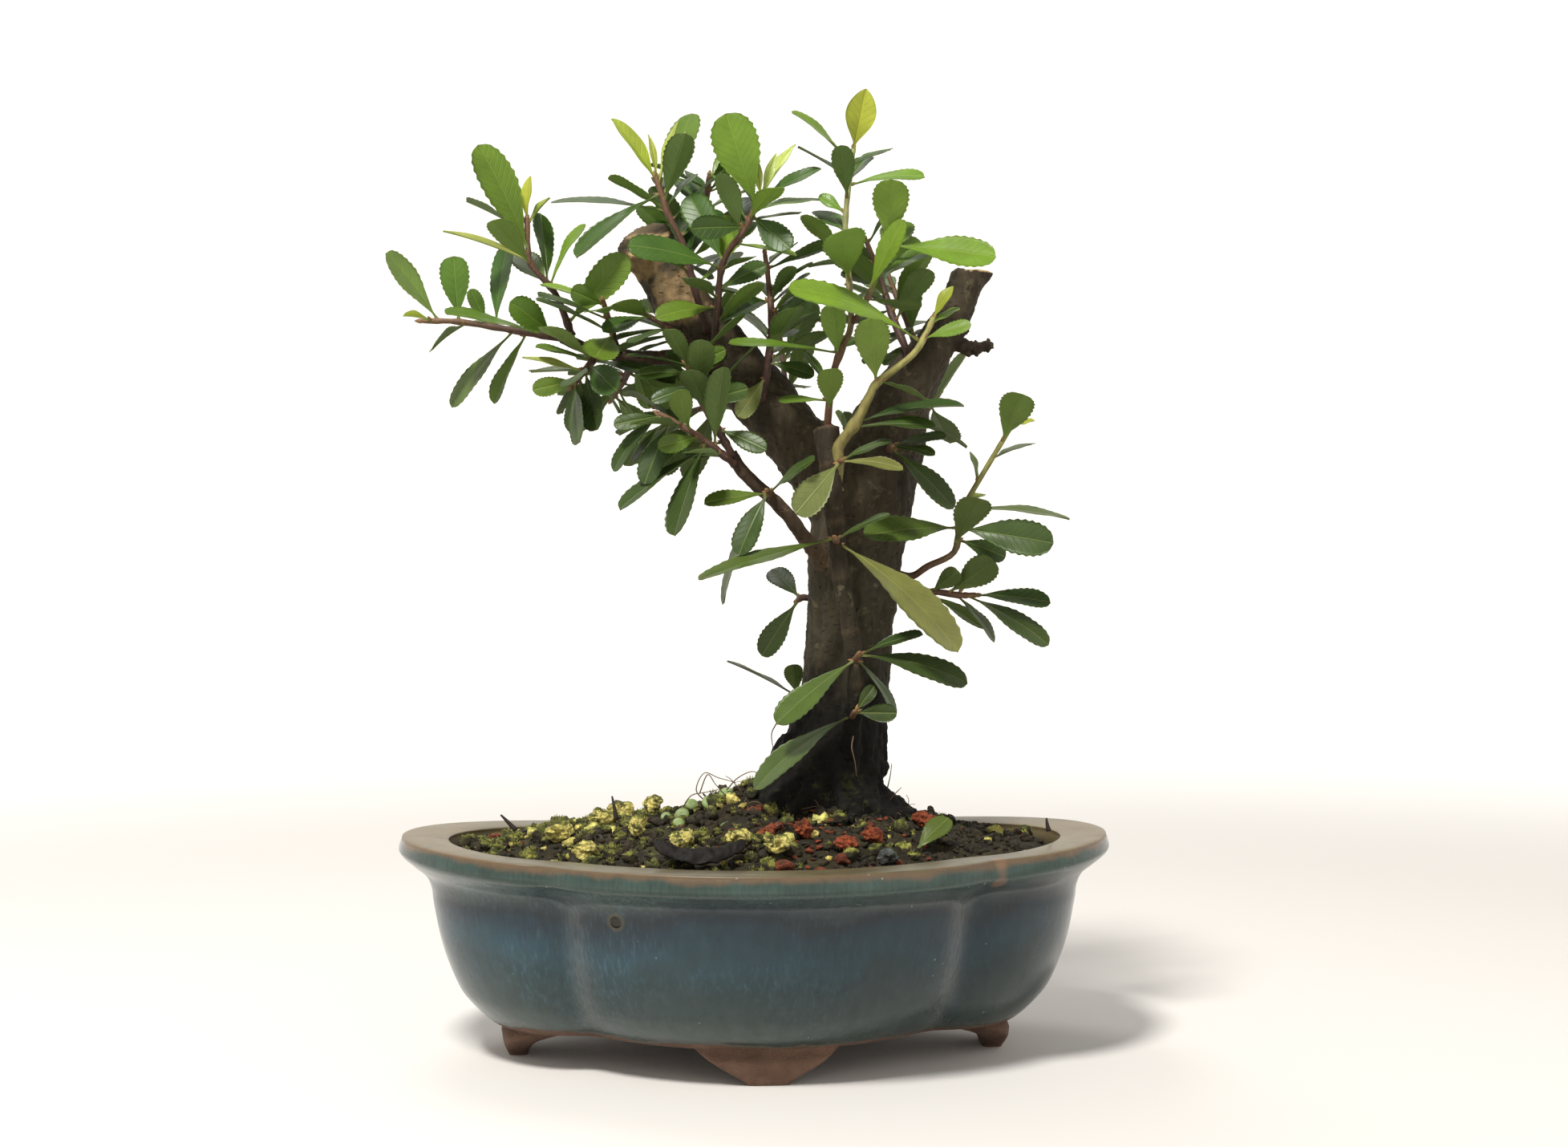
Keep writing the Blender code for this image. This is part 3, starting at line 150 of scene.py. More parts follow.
# Shoots: name, colour, routes, leaves, extra leaves. A route is (across, down, depth) from its
# root out; a leaf is (root across, root down, tip across, tip down, width seen, depth of its tip
# beyond its root, kind). Kinds: d dark, m mid, b bright, y young, o olive, p pale.
SHOOTS = (
    ("shoot_far_left", "mid",
     (((703, 422, -9), (643, 412, -11), (572, 401, -12), (528, 400, -12)),),
     ((572, 401, 565, 319, 37, -3, "k"), (617, 408, 634, 300, 30, 5, "d"),
      (606, 405, 586, 360, 18, -4, "m"), (690, 420, 636, 376, 36, -6, "m"),
      (676, 417, 556, 386, 14, -9, "m"), (540, 400, 503, 392, 8, -2, "y"),
      (640, 411, 561, 506, 25, -3, "m")), 4),
    ("shoot_upper_left", "bright",
     (((716, 428, -8), (707, 402, -10), (691, 364, -12), (662, 330, -14), (658, 306, -14),
       (657, 276, -14)),),
     ((657, 316, 596, 180, 44, -6, "m"), (660, 325, 553, 285, 9, -4, "p"),
      (658, 278, 660, 219, 14, 0, "y"), (658, 280, 684, 245, 8, 1, "y"),
      (657, 280, 622, 224, 7, 2, "p"), (684, 350, 672, 266, 20, 7, "d"),
      (686, 356, 728, 278, 14, 2, "b"), (706, 404, 781, 318, 42, -6, "m")), 3),
    ("shoot_lower_left", "dark",
     (((745, 440, -8), (737, 452, -12), (724, 468, -13), (714, 480, -13)),),
     ((728, 462, 651, 445, 9, -2, "p"), (720, 474, 664, 486, 24, -5, "m"),
      (735, 455, 768, 486, 38, -9, "d"), (718, 476, 713, 540, 20, 3, "d"),
      (738, 450, 842, 475, 20, -6, "d"), (720, 470, 735, 505, 22, 6, "d")), 5),
    ("shoot_drooping", "dark",
     (((922, 584, -20), (904, 569, -24.5), (882, 552, -26), (850, 531, -26), (822, 516, -25.5)),),
     ((826, 518, 765, 530, 22, -3, "d"), (823, 517, 763, 586, 20, 0, "d"),
      (836, 524, 803, 603, 30, -5, "d"), (832, 521, 786, 574, 11, 4, "d"),
      (889, 555, 773, 636, 16, -7, "d"), (880, 550, 841, 668, 42, -10, "d"),
      (866, 542, 820, 588, 32, 5, "d"), (840, 526, 788, 490, 12, 4, "d"),
      (872, 545, 820, 558, 24, -9, "m")), 5),
    ("shoot_mid_left", "dark",
     (((910, 562, -20.5), (895, 535, -21), (878, 507, -21), (862, 470, -20), (856, 448, -20)),),
     ((860, 466, 795, 468, 18, -3, "d"), (874, 500, 932, 484, 24, -5, "d"),
      (858, 456, 905, 436, 22, -6, "m"), (868, 484, 812, 500, 20, 5, "d"),
      (895, 535, 955, 560, 24, -6, "d")), 8),
    ("shoot_bough_spur", "dark",
     (((962, 616, -21), (957, 612, -25)),),
     ((960, 616, 878, 628, 18, -4, "m"), (958, 614, 896, 752, 14, 2, "d"),
      (957, 614, 921, 692, 32, -4, "d")), 1),
    ("shoot_upper", "dark",
     (((880, 408, -7), (862, 345, -10), (853, 308, -10), (832, 265, -10), (826, 245, -10),
       (818, 222, -10)),),
     ((820, 226, 762, 148, 20, -4, "y"), (818, 222, 809, 167, 8, 0, "p"),
      (820, 225, 855, 163, 8, 3, "p"), (821, 230, 845, 150, 9, -5, "p"),
      (825, 240, 718, 320, 25, -9, "d"), (831, 262, 688, 250, 14, 5, "d"),
      (828, 248, 862, 141, 38, 8, "m"), (848, 296, 900, 262, 22, 6, "d")), 8),
    ("shoot_centre", "mid",
     (((884, 461, -9), (891, 423, -13), (895, 377, -15), (899, 337, -16), (909, 312, -17),
       (926, 289, -18), (937, 268, -18), (950, 244, -18)),),
     ((942, 258, 905, 141, 58, -6, "m"), (949, 246, 940, 190, 13, -3, "p"),
      (950, 245, 968, 190, 13, 2, "p"), (947, 250, 1023, 209, 18, 5, "d"),
      (946, 252, 992, 180, 15, 9, "p"), (930, 283, 862, 284, 30, -9, "d"),
      (903, 328, 859, 242, 42, 6, "d"), (938, 268, 984, 309, 34, -9, "d"),
      (940, 263, 1027, 247, 15, 9, "m"), (900, 335, 782, 306, 34, -9, "d"),
      (895, 383, 817, 396, 26, -10, "m"), (897, 360, 955, 330, 24, -4, "d")), 6),
    ("shoot_top", "bright",
     (((1032, 526, -17), (1038, 470, -21), (1050, 433, -22), (1061, 404, -21), (1058, 340, -18),
       (1054, 281, -16), (1059, 224, -15), (1064, 186, -15)),
      ((1061, 404, -21), (1076, 383, -22), (1092, 346, -22), (1110, 304, -21))),
     ((1064, 188, 1080, 110, 38, -4, "y"), (1062, 205, 988, 137, 11, -3, "m"),
      (1059, 232, 1153, 221, 16, -6, "b"), (1056, 268, 1022, 243, 15, 3, "m"),
      (1045, 448, 1037, 380, 32, -7, "b"), (1048, 440, 908, 428, 13, -6, "b"),
      (1034, 512, 1036, 460, 32, -10, "b"), (1036, 500, 971, 498, 9, -3, "b"),
      (1108, 308, 1112, 222, 45, -4, "b"), (1082, 368, 1128, 274, 26, -8, "b"),
      (1057, 352, 1052, 286, 54, -12, "b"), (1110, 306, 1242, 320, 38, -5, "b"),
      (1092, 350, 1163, 308, 20, 4, "m")), 6),
    ("shoot_olive", "olive",
     (((1046, 556, -24), (1067, 527, -26), (1084, 494, -27), (1094, 477, -27), (1138, 442, -27),
       (1155, 415, -26), (1163, 398, -25)),),
     ((1163, 398, 1188, 356, 14, -1, "y"), (1160, 404, 1196, 383, 10, 3, "b"),
      (1151, 424, 1211, 404, 18, -4, "b"), (1092, 480, 1086, 397, 44, -7, "b"),
      (1148, 428, 985, 354, 30, -15, "b"), (1067, 527, 1202, 505, 16, 2, "d"),
      (1062, 532, 1167, 532, 13, -6, "d")), 1),
    ("spur_stem_top", "olive",
     (((1042, 580, -24), (1048, 575, -28)),),
     ((1048, 576, 993, 640, 40, -9, "o"), (1048, 576, 1126, 584, 16, -5, "o"),
      (1047, 574, 1112, 548, 11, 4, "d")), 0),
    ("spur_stem_mid", "olive",
     (((1044, 676, -24), (1041, 671, -28)),),
     ((1040, 672, 871, 724, 20, -9, "m"), (1044, 676, 1198, 808, 42, -12, "o"),
      (1044, 672, 1109, 640, 8, -3, "d")), 0),
    ("spur_stem_low", "dark",
     (((1066, 824, -23), (1070, 817, -26)),),
     ((1066, 822, 967, 900, 28, -8, "m"), (1070, 817, 1151, 791, 9, -3, "d"),
      (1071, 818, 1207, 850, 26, -3, "d"), (1070, 822, 1119, 893, 10, 4, "d")), 0),
    ("spur_stem_base", "dark",
     (((1063, 893, -20), (1066, 888, -24)),),
     ((1068, 889, 1118, 889, 24, -3, "d"), (1066, 887, 1090, 855, 18, 1, "d"),
      (1062, 892, 940, 983, 24, -8, "m")), 0),
    ("spur_trunk_right", "dark",
     (((1108, 560, -13), (1112, 556, -18)),),
     ((1110, 558, 1189, 634, 30, -3, "d"), (1110, 556, 1166, 566, 11, -5, "d"),
      (1112, 556, 1180, 541, 12, 1, "d")), 0),
    ("shoot_right", "dark",
     (((1138, 718, -5), (1157, 706, -8), (1190, 688, -10), (1196, 652, -10), (1203, 630, -10),
       (1235, 575, -10), (1264, 527, -10)),),
     ((1197, 658, 1314, 677, 44, -7, "d"), (1193, 672, 1254, 694, 25, 4, "d"),
      (1202, 634, 1334, 647, 12, -3, "m"), (1203, 628, 1228, 616, 10, 3, "y"),
      (1195, 658, 1078, 670, 34, -14, "m"), (1250, 552, 1275, 490, 42, -4, "b"),
      (1219, 602, 1211, 563, 8, 0, "b"), (1262, 530, 1290, 524, 7, 0, "y")), 2),
    ("shoot_right_low", "dark",
     (((1134, 742, 0), (1165, 738, -1), (1195, 742, -2), (1216, 742, -2)),),
     ((1180, 740, 1240, 700, 38, -6, "d"), (1213, 742, 1310, 752, 20, -3, "d"),
      (1205, 742, 1309, 802, 24, -6, "d"), (1192, 742, 1241, 800, 14, 3, "d"),
      (1160, 738, 1196, 712, 25, -8, "d")), 2),
    ("spur_trunk_left", "dark",
     (((1000, 745, 6), (994, 749, 9)),), ((996, 748, 950, 818, 30, 2, "d"),), 1),
    ("spur_trunk_low", "dark",
     (((996, 868, 7), (991, 867, 10)),), ((993, 868, 988, 828, 24, 2, "d"),), 1),
    ("shoot_inner", "dark",
     (((950, 500, -7), (958, 450, -12), (962, 400, -11), (958, 350, -7), (954, 318, -5)),),
     ((958, 452, 1015, 468, 20, -4, "d"), (955, 470, 921, 520, 26, -7, "o"),
      (962, 400, 1012, 372, 24, -5, "d")), 8),
    ("shoot_inner_left", "dark",
     (((864, 442, -5), (852, 422, -11), (828, 405, -13), (805, 392, -12)),),
     ((812, 396, 770, 350, 26, -4, "d"), (850, 420, 840, 364, 22, -8, "d"),
      (808, 394, 752, 412, 22, -5, "d")), 8),
    ("shoot_bough_up", "mid",
     (((772, 442, -7), (762, 410, -15), (752, 376, -20)),),
     ((754, 380, 712, 362, 26, -2, "m"), (758, 396, 822, 372, 24, -6, "d")), 5),
    ("shoot_bough_back", "dark",
     (((790, 450, -2), (775, 478, 8), (762, 498, 14)),), (), 7),
    ("shoot_top_back", "mid",
     (((846, 352, 8), (866, 300, 12), (880, 250, 13), (884, 220, 13)),),
     ((882, 232, 920, 180, 24, 5, "m"),), 7),
    ("shoot_right_back", "mid",
     (((1132, 440, -7), (1112, 392, -2), (1096, 340, 2), (1080, 300, 4)),),
     ((1090, 330, 1148, 300, 26, 6, "m"), (1100, 356, 1040, 322, 24, 8, "d")), 7),
    ("shoot_back_right", "dark",
     (((1150, 470, 8), (1140, 425, 20), (1122, 380, 28), (1105, 335, 32)),), (), 7),
    ("shoot_back_left", "dark",
     (((888, 436, 11), (880, 392, 22), (862, 345, 30), (850, 300, 33)),), (), 7),
    ("shoot_back_mid", "dark",
     (((985, 535, 11), (980, 490, 24), (975, 440, 33), (968, 392, 37)),), (), 7),
    ("shoot_back_low", "dark",
     (((1050, 640, 13), (1062, 600, 28), (1082, 566, 40)),), (), 6),
    ("shoot_back_out", "dark",
     (((930, 494, 11), (890, 505, 20), (850, 514, 29), (818, 508, 34)),), (), 6),
    ("shoot_back_side", "dark",
     (((1128, 545, 10), (1150, 520, 24), (1172, 490, 34)),), (), 6),
)
# Leaves taken off again, so that the sawn limb shows: shoot and their places in its list
BARED = (("shoot_inner_left", (0, 1, 3, 8, 9, 13)), ("shoot_upper", (11, 12, 16, 18)))
# Small leaves that close the crown, placed last: shoot and how many
FILL = (("shoot_inner", 7), ("shoot_inner_left", 3), ("shoot_mid_left", 5), ("shoot_centre", 7),
        ("shoot_upper", 5), ("shoot_bough_back", 5), ("shoot_drooping", 4), ("shoot_lower_left", 4),
        ("shoot_top_back", 5), ("shoot_back_left", 5), ("shoot_back_mid", 5), ("shoot_back_out", 4),
        ("shoot_right_back", 5), ("shoot_back_right", 4), ("shoot_top", 5), ("shoot_back_low", 3))


def frames(points):
    """Tangent and two side directions along a run of points, carried without twist."""
    out = []
    side = None
    for i in range(len(points)):
        t = (points[min(i + 1, len(points) - 1)] - points[max(i - 1, 0)]).normalized()
        if side is None:
            side = t.cross(Vector((0, 1, 0)) if abs(t.y) < 0.8 else Vector((1, 0, 0)))
        side = (side - t * side.dot(t)).normalized()
        out.append((t, side, t.cross(side)))
    return out


def compass(count):
    """Cosine and sine of count even steps round a circle."""
    return [(math.cos(math.tau * i / count), math.sin(math.tau * i / count)) for i in range(count)]


def loft(rings):
    """Closed solid through rings of equal count, with flat ends."""
    count = len(rings[0])
    faces = []
    for i in range(len(rings) - 1):
        for k in range(count):
            a, b = i * count + k, i * count + (k + 1) % count
            faces += [(a, b, b + count), (a, b + count, a + count)]
    faces.append(tuple(range(count - 1, -1, -1)))
    faces.append(tuple((len(rings) - 1) * count + k for k in range(count)))
    return [p for ring in rings for p in ring], faces


def tube(points, radii, sides):
    return loft([[p + (u * c + v * s) * r for c, s in compass(sides)]
                 for p, r, (_, u, v) in zip(points, radii, frames(points))])


def lobe_outline(offset):
    """Plan of the four-lobed pot, moved out by offset: points around, front left crease first."""
    ra, rb = LOBE_R + offset, LONG_R + offset
    k = ra * ra - rb * rb - LOBE_X * LOBE_X + LONG_Y * LONG_Y
    p, q = k / (2 * LOBE_X), LONG_Y / LOBE_X          # on the crease, x = p - q * y
    a = 1 + q * q
    b = -2 * q * (p + LOBE_X)
    c = (p + LOBE_X) ** 2 - ra * ra
    y = (-b - math.sqrt(b * b - 4 * a * c)) / (2 * a)
    x = p - q * y
    half_long = math.atan2(-x, LONG_Y - y)
    half_end = math.atan2(-y, -(x + LOBE_X))
    ring = []
    for sign in (1, -1):
        for i in range(LONG_STEPS):
            ang = -half_long + 2 * half_long * i / LONG_STEPS
            ring.append((sign * rb * math.sin(ang), sign * (LONG_Y - rb * math.cos(ang))))
        for i in range(END_STEPS):
            ang = -half_end + 2 * half_end * i / END_STEPS
            ring.append((sign * (LOBE_X + ra * math.cos(ang)), sign * ra * math.sin(ang)))
    return ring


def upsweep(x):
    """How far the lip rises this far out along the pot."""
    return RIM_LIFT * min(max((abs(x) - RIM_FLAT) / RIM_LONG, 0.0), 1.0) ** 1.6


def pot_ring(offset, z):
    weight = min(max((z - RIM_FROM) / 12.0, 0.0), 1.0)
    return [Vector((x, y, z + weight * upsweep(x))) for x, y in lobe_outline(offset)]


def soil_height(x, y, f):
    """Height of the soil at x, y, where f is 0 in the middle of the pot and 1 at its wall."""
    swell = 9.0 * (1.0 - f ** 2.4)
    trunk = 6.4 * math.exp(-((x - 17.0) ** 2 + y * y) / (2 * 21.0 ** 2))
    left = 4.2 * math.exp(-((x + 6.0) ** 2 + y * y) / (2 * 9.0 ** 2))
    return SOIL_EDGE_Z + swell + trunk + left


def trunk_rings():
    """Rings of the trunk, with a root flare in lobes low down."""
    rng = random.Random(SEED + 1)
    rings = []
    sides = 14
    for x, y, z, hw, hd in TRUNK:
        flare = min(max((86.0 - z) / 16.0, 0.0), 1.0)
        ring = []
        for k in range(sides):
            a = math.tau * k / sides
            lobe = 1.0 + flare * 0.10 * math.cos(3 * a + 0.6) + flare * 0.06 * math.cos(5 * a)
            knob = 1.0 + (0.035 * rng.uniform(-1, 1) if z > 70 else 0.0)
            if z < 60:
                lobe = 1.0 + (lobe - 1.0) * 0.8
            ring.append(turned(x + hw * lobe * knob * math.cos(a),
                               y + hd * lobe * knob * math.sin(a), z))
        rings.append(ring)
    return rings


def wood_tubes():
    """Limbs, stub, sucker and boughs, each as points, radii and number of sides."""
    runs = [(LEFT_LIMB, turned, 12), (SIDE_STUB, turned, 7), (SUCKER, seen, 7)]
    runs += [(bough, seen, 6) for bough in BOUGHS]
    return [([place(*row[:3]) for row in rows], [row[3] for row in rows], sides)
            for rows, place, sides in runs]


class Item:
    """One placed thing: its owner, its shape whole and without its stalk, and its box."""

    def __init__(self, owner, verts, faces, outer=None):
        self.owner = owner
        self.full = BVHTree.FromPolygons(verts, faces)
        self.outer = BVHTree.FromPolygons(*outer) if outer else self.full
        self.lo = [min(v[i] for v in verts) for i in range(3)]
        self.hi = [max(v[i] for v in verts) for i in range(3)]

    def meets(self, other):
        for i in range(3):
            if self.lo[i] > other.hi[i] or other.lo[i] > self.hi[i]:
                return False
        if self.owner == other.owner:
            return bool(self.outer.overlap(other.outer))
        return bool(self.full.overlap(other.full))


def leaf_stations(leaf, grow, count):
    """Middle, half width and wave of each of a coarse blade's cross lines, which are 2, 3 or 4."""
    base, u, n = leaf["base"], leaf["u"], leaf["n"]
    length, half, stalk = leaf["length"], leaf["width"] / 2, leaf["stalk"]
    rows = [(0.0, 0.0), (stalk + 0.07, 0.3), (stalk + (1 - stalk) * 0.42, 0.9),
            (stalk + (1 - stalk) * 0.78, 0.94)]
    if count == 3:
        rows.pop(1)
    if count == 2:
        rows = [(0.0, 0.0), (stalk + (1 - stalk) * 0.6, 0.96)]
    out = []
    for i, (t, w) in enumerate(rows):
        mid = base + u * (length * t) + n * (leaf["camber"] * length * t * (1 - t) * 4)
        out.append((mid, max(half * w, STALK) + grow,
                    leaf["wave"] * (0, 0, -1, 1)[i - len(rows)]))
    return out


def leaf_mesh(leaf, grow=0.0, count=4, skip=0):
    """A coarse blade with its stalk: both faces cut into the same triangles."""
    n, s = leaf["n"], leaf["s"]
    up = n * (BLADE / 2 + grow)
    rows = leaf_stations(leaf, grow, count)[skip:]
    tip = leaf["base"] + leaf["u"] * (leaf["length"] * leaf["tip"] + grow)
    top = []
    for mid, half, wave in rows:
        top.append(mid - s * half + n * wave)
        top.append(mid + s * half - n * wave)
    top.append(tip)
    count = len(top)
    verts = [p + up for p in top] + [p - up for p in top]
    flat = []
    for i in range(len(rows) - 1):
        a = 2 * i
        flat += [(a, a + 1, a + 3), (a, a + 3, a + 2)]
    flat.append((count - 3, count - 2, count - 1))
    edge = [2 * i for i in range(len(rows))] + [count - 1]
    edge += [2 * i + 1 for i in reversed(range(len(rows)))]
    faces = list(flat) + [tuple(reversed([i + count for i in f])) for f in flat]
    for i, a in enumerate(edge):
        b = edge[(i + 1) % len(edge)]
        faces.append((a, b, b + count))
        faces.append((a, b + count, a + count))
    return verts, faces


def leaf_item(owner, leaf, grow):
    verts, faces = leaf_mesh(leaf, grow)
    return Item(owner, verts, faces, leaf_mesh(leaf, grow, skip=1))


def sample(points, radii, step=0.5):
    """Points every step along a route, with tangent and radius."""
    out = []
    for a, b, ra, rb in zip(points, points[1:], radii, radii[1:]):
        count = max(1, int((b - a).length / step))
        for i in range(count):
            f = i / count
            out.append((a.lerp(b, f), (b - a).normalized(), ra + (rb - ra) * f))
    out.append((points[-1], (points[-1] - points[-2]).normalized(), radii[-1]))
    return out


def nearest_wood(p, wood):
    """The nearest spot on any piece of wood, and how far outside it p lies: 0 inside."""
    best = None
    for tree in wood:
        spot, normal, _, dist = tree.find_nearest(p, 60.0)
        if spot is None:
            continue
        if (p - spot).dot(normal) < -0.2 * dist:
            return spot, 0.0
        if best is None or dist < best[1]:
            best = (spot, dist)
    return best


def around(p, t, r):
    """Points on the ring of radius r about p, square to t, and p itself."""
    side = t.orthogonal().normalized()
    other = t.cross(side)
    return [p] + [p + (side * math.cos(a) + other * math.sin(a)) * r
                  for a in (0, 1.05, 2.09, 3.14, 4.19, 5.24)]


def cut_back(points, radii, run):
    """What is left of a route from the distance run on."""
    keep, keep_r = [], []
    for a, b, ra, rb in zip(points, points[1:], radii, radii[1:]):
        length = (b - a).length
        if keep:
            keep.append(b)
            keep_r.append(rb)
        elif run < length - 0.6:
            f = run / length
            keep, keep_r = [a.lerp(b, f), b], [ra + (rb - ra) * f, rb]
        run -= length
    return keep, keep_r


def clip_root(points, radii, wood):
    """Starts a twig GAP away from the wood that it grows on, lengthened first if it is short."""
    spot, far = nearest_wood(points[0], wood)
    if far > GAP:
        points = [spot + (spot - points[0]).normalized() * 0.8] + points
        radii = [radii[0]] + radii
    run = 0.0
    for i, (p, t, r) in enumerate(sample(points, radii, 0.1)):
        if i > 160:
            break
        if min(nearest_wood(q, wood)[1] for q in around(p, t, r)) < GAP:
            run = 0.1 * (i + 1)
    for more in range(20):
        keep, keep_r = cut_back(points, radii, run + 0.2 * more)
        twig = BVHTree.FromPolygons(*tube(keep, [r + GAP / 2 for r in keep_r], 5))
        if not any(twig.overlap(tree) for tree in wood):
            break
    return keep, keep_r


def make_leaf(base, u, n, length, width, rng, kind, stalk=0.14, rows=4):
    u = u.normalized()
    n = (n - u * n.dot(u)).normalized()
    if n.z < -0.25:
        n = -n
    return {"base": base, "u": u, "n": n, "s": u.cross(n), "length": length, "width": width,
            "stalk": stalk, "camber": rng.uniform(0.02, 0.06) * CAMBER_SHARE[rows],
            "wave": rng.uniform(-0.35, 0.35) if rows > 2 else 0.0,
            "tip": 0.955 if kind == "k" else 1.0, "kind": kind, "rows": rows}


def noted_leaf(note, lines, rng, shift=0.0, roll_more=0.0):
    """A leaf from its note in the front view, rooted on the nearest point of its twig."""
    ra, rd, ta, td, width, dd, kind = note
    best = None
    for line in lines:
        for p, _, _ in line:
            va, vd, depth = view_of(p)
            d = (va - ra) ** 2 + (vd - rd) ** 2
            if best is None or d < best[0]:
                best = (d, p, depth)
    base, depth = best[1], best[2]
    scale = (EYE_BACK + depth) / STEP
    off = math.sqrt(best[0]) * scale
    dd += shift
    tip = seen(ta, td, depth + dd)
    axis = tip - base
    wide = width * scale
    flat = axis.length
    if wide > 0.5 * flat:
        more = math.sqrt(max((wide / 0.46) ** 2 - flat * flat, 0.0))
        tip = seen(ta, td, depth + dd - 0.7 * more)
        axis = tip - base
    length = axis.length
    toward = turned(0, -1, 0)
    side = axis.cross(toward).normalized()
    face = side.cross(axis).normalized()
    if face.dot(toward) < 0:
        face = -face
    full = max(wide, length * (0.37 if kind != "p" else 0.2))
    roll = math.acos(min(wide / full, 1.0)) + roll_more
    choices = [face * math.cos(roll) + side * math.sin(roll) * sign for sign in (1, -1)]
    normal = max(choices, key=lambda v: v.z)
    return make_leaf(base, axis, normal, length, full, rng, kind, min(max(off / length, 0.13), 0.4),
                     4 if width >= FULL_FORM else 3)


def ruled_leaf(line, at, azimuth, rng, kind, lengths):
    """A leaf placed by rule on its twig, turned about it by azimuth."""
    p, t, _ = line[min(int(at * (len(line) - 1)), len(line) - 1)]
    side = t.orthogonal().normalized()
    out = side * math.cos(azimuth) + t.cross(side) * math.sin(azimuth)
    u = t * rng.uniform(0.35, 0.8) + out + Vector((0, 0, rng.uniform(-0.25, 0.3)))
    n = Vector((0, 0, 1.0)) + t * 0.5 + Vector((rng.uniform(-0.4, 0.4), rng.uniform(-0.4, 0.4), 0))
    length = rng.uniform(*lengths)
    return make_leaf(p, u, n, length, length * rng.uniform(0.36, 0.46), rng, kind, rows=2)


def fits(leaf, shoot, placed):
    """Adds the leaf to its shoot if it stays clear of all that is placed."""
    item = leaf_item(shoot["name"], leaf, GAP)
    if any(item.meets(other) for other in placed):
        return False
    placed.append(leaf_item(shoot["name"], leaf, 0.0))
    shoot["leaves"].append(leaf)
    return True


def tree_layout():
    """Every shoot's twigs and leaves, set clear of each other and of the wood."""
    rng = random.Random(SEED)
    wood_meshes = [loft(trunk_rings())]
    wood_meshes += [tube(*t) for t in wood_tubes()]
    wood = [BVHTree.FromPolygons(v, f) for v, f in wood_meshes]
    placed = [Item("wood", v, f) for v, f in wood_meshes]
    shoots = []
    for name, colour, routes, notes, extra in SHOOTS:
        tubes, lines = [], []
        for i, route in enumerate(routes):
            points = [seen(*p) for p in route]
            total = len(points) - 1
            start = 1.25 if len(points) > 3 else 1.1
            radii = [start + (0.78 - start) * k / total for k in range(total + 1)]
            if i == 0:
                points, radii = clip_root(points, radii, wood)
            else:
                radii = [0.95 + (0.75 - 0.95) * k / total for k in range(total + 1)]
            tubes.append((points, radii))
            lines.append(sample(points, radii))
            placed.append(Item(name, *tube(points, radii, 5)))
        shoots.append({"name": name, "colour": colour, "tubes": tubes, "lines": lines, "leaves": [],
                       "notes": notes, "extra": extra})
    for shoot in shoots:
        for note in shoot["notes"]:
            for shift, roll in TRIES:
                if fits(noted_leaf(note, shoot["lines"], rng, shift, roll), shoot, placed):
                    break
    for shoot in shoots:
        line = shoot["lines"][0] + (shoot["lines"][1] if len(shoot["lines"]) > 1 else [])
        wanted = shoot["extra"]
        azimuth = rng.uniform(0, math.tau)
        for i in range(wanted):
            at = 0.22 + 0.76 * (i + 0.5) / wanted
            for _ in range(EXTRA_TRIES):
                azimuth += 2.4
                kind = rng.choice("dmd" if shoot["colour"] == "dark" else "mbd")
                spot = min(max(at + rng.uniform(-0.08, 0.08), 0.12), 0.985)
                leaf = ruled_leaf(line, spot, azimuth, rng, kind, EXTRA_LENGTHS)
                if fits(leaf, shoot, placed):
                    break
    by_name = {shoot["name"]: shoot for shoot in shoots}
    for name, wanted in FILL:
        shoot = by_name[name]
        for _ in range(wanted):
            for _ in range(FILL_TRIES):
                spot, azimuth = rng.uniform(0.1, 0.98), rng.uniform(0, math.tau)
                leaf = ruled_leaf(shoot["lines"][0], spot, azimuth, rng, rng.choice("ddm"),
                                  FILL_LENGTHS)
                if fits(leaf, shoot, placed):
                    break
    for name, places in BARED:
        shoot = by_name[name]
        shoot["leaves"] = [leaf for i, leaf in enumerate(shoot["leaves"]) if i not in places]
    return shoots


def ease(value, low, high):
    f = min(max((value - low) / (high - low), 0.0), 1.0)
    return f * f * (3 - 2 * f)


def srgb(r, g, b):
    """Linear colour of a display colour from 0 to 255."""
    return tuple(((c / 255 + 0.055) / 1.055) ** 2.4 if c > 10 else c / 3294.6 for c in (r, g, b))


def blend(a, b, f):
    """The colour f of the way from a to b."""
    return tuple(x + (y - x) * f for x, y in zip(a, b))


def spline(values, per, closed=False):
    """Smooth run through the values, per steps from each to the next."""
    v = np.asarray(values, float)
    if closed:
        v = np.concatenate([v[-1:], v, v[:2]])
    else:
        v = np.concatenate([2 * v[:1] - v[1:2], v, 2 * v[-1:] - v[-2:-1]])
    out = []
    for a, b, c, d in zip(v, v[1:], v[2:], v[3:]):
        for t in np.arange(per) / per:
            out.append(0.5 * (2 * b + (c - a) * t + (2 * a - 5 * b + 4 * c - d) * t * t
                              + (3 * b - a - 3 * c + d) * t ** 3))
    if not closed:
        out.append(v[-2])
    return np.array(out)


def smoothed(points, per):
    return [Vector(p) for p in spline([tuple(p) for p in points], per)]


def lump(p, size, octaves=3):
    """Noise from about -1 to 1 whose swells are size millimetres wide."""
    return noise.fractal(Vector(p) / size, 0.9, 2.0, octaves) * 1.6


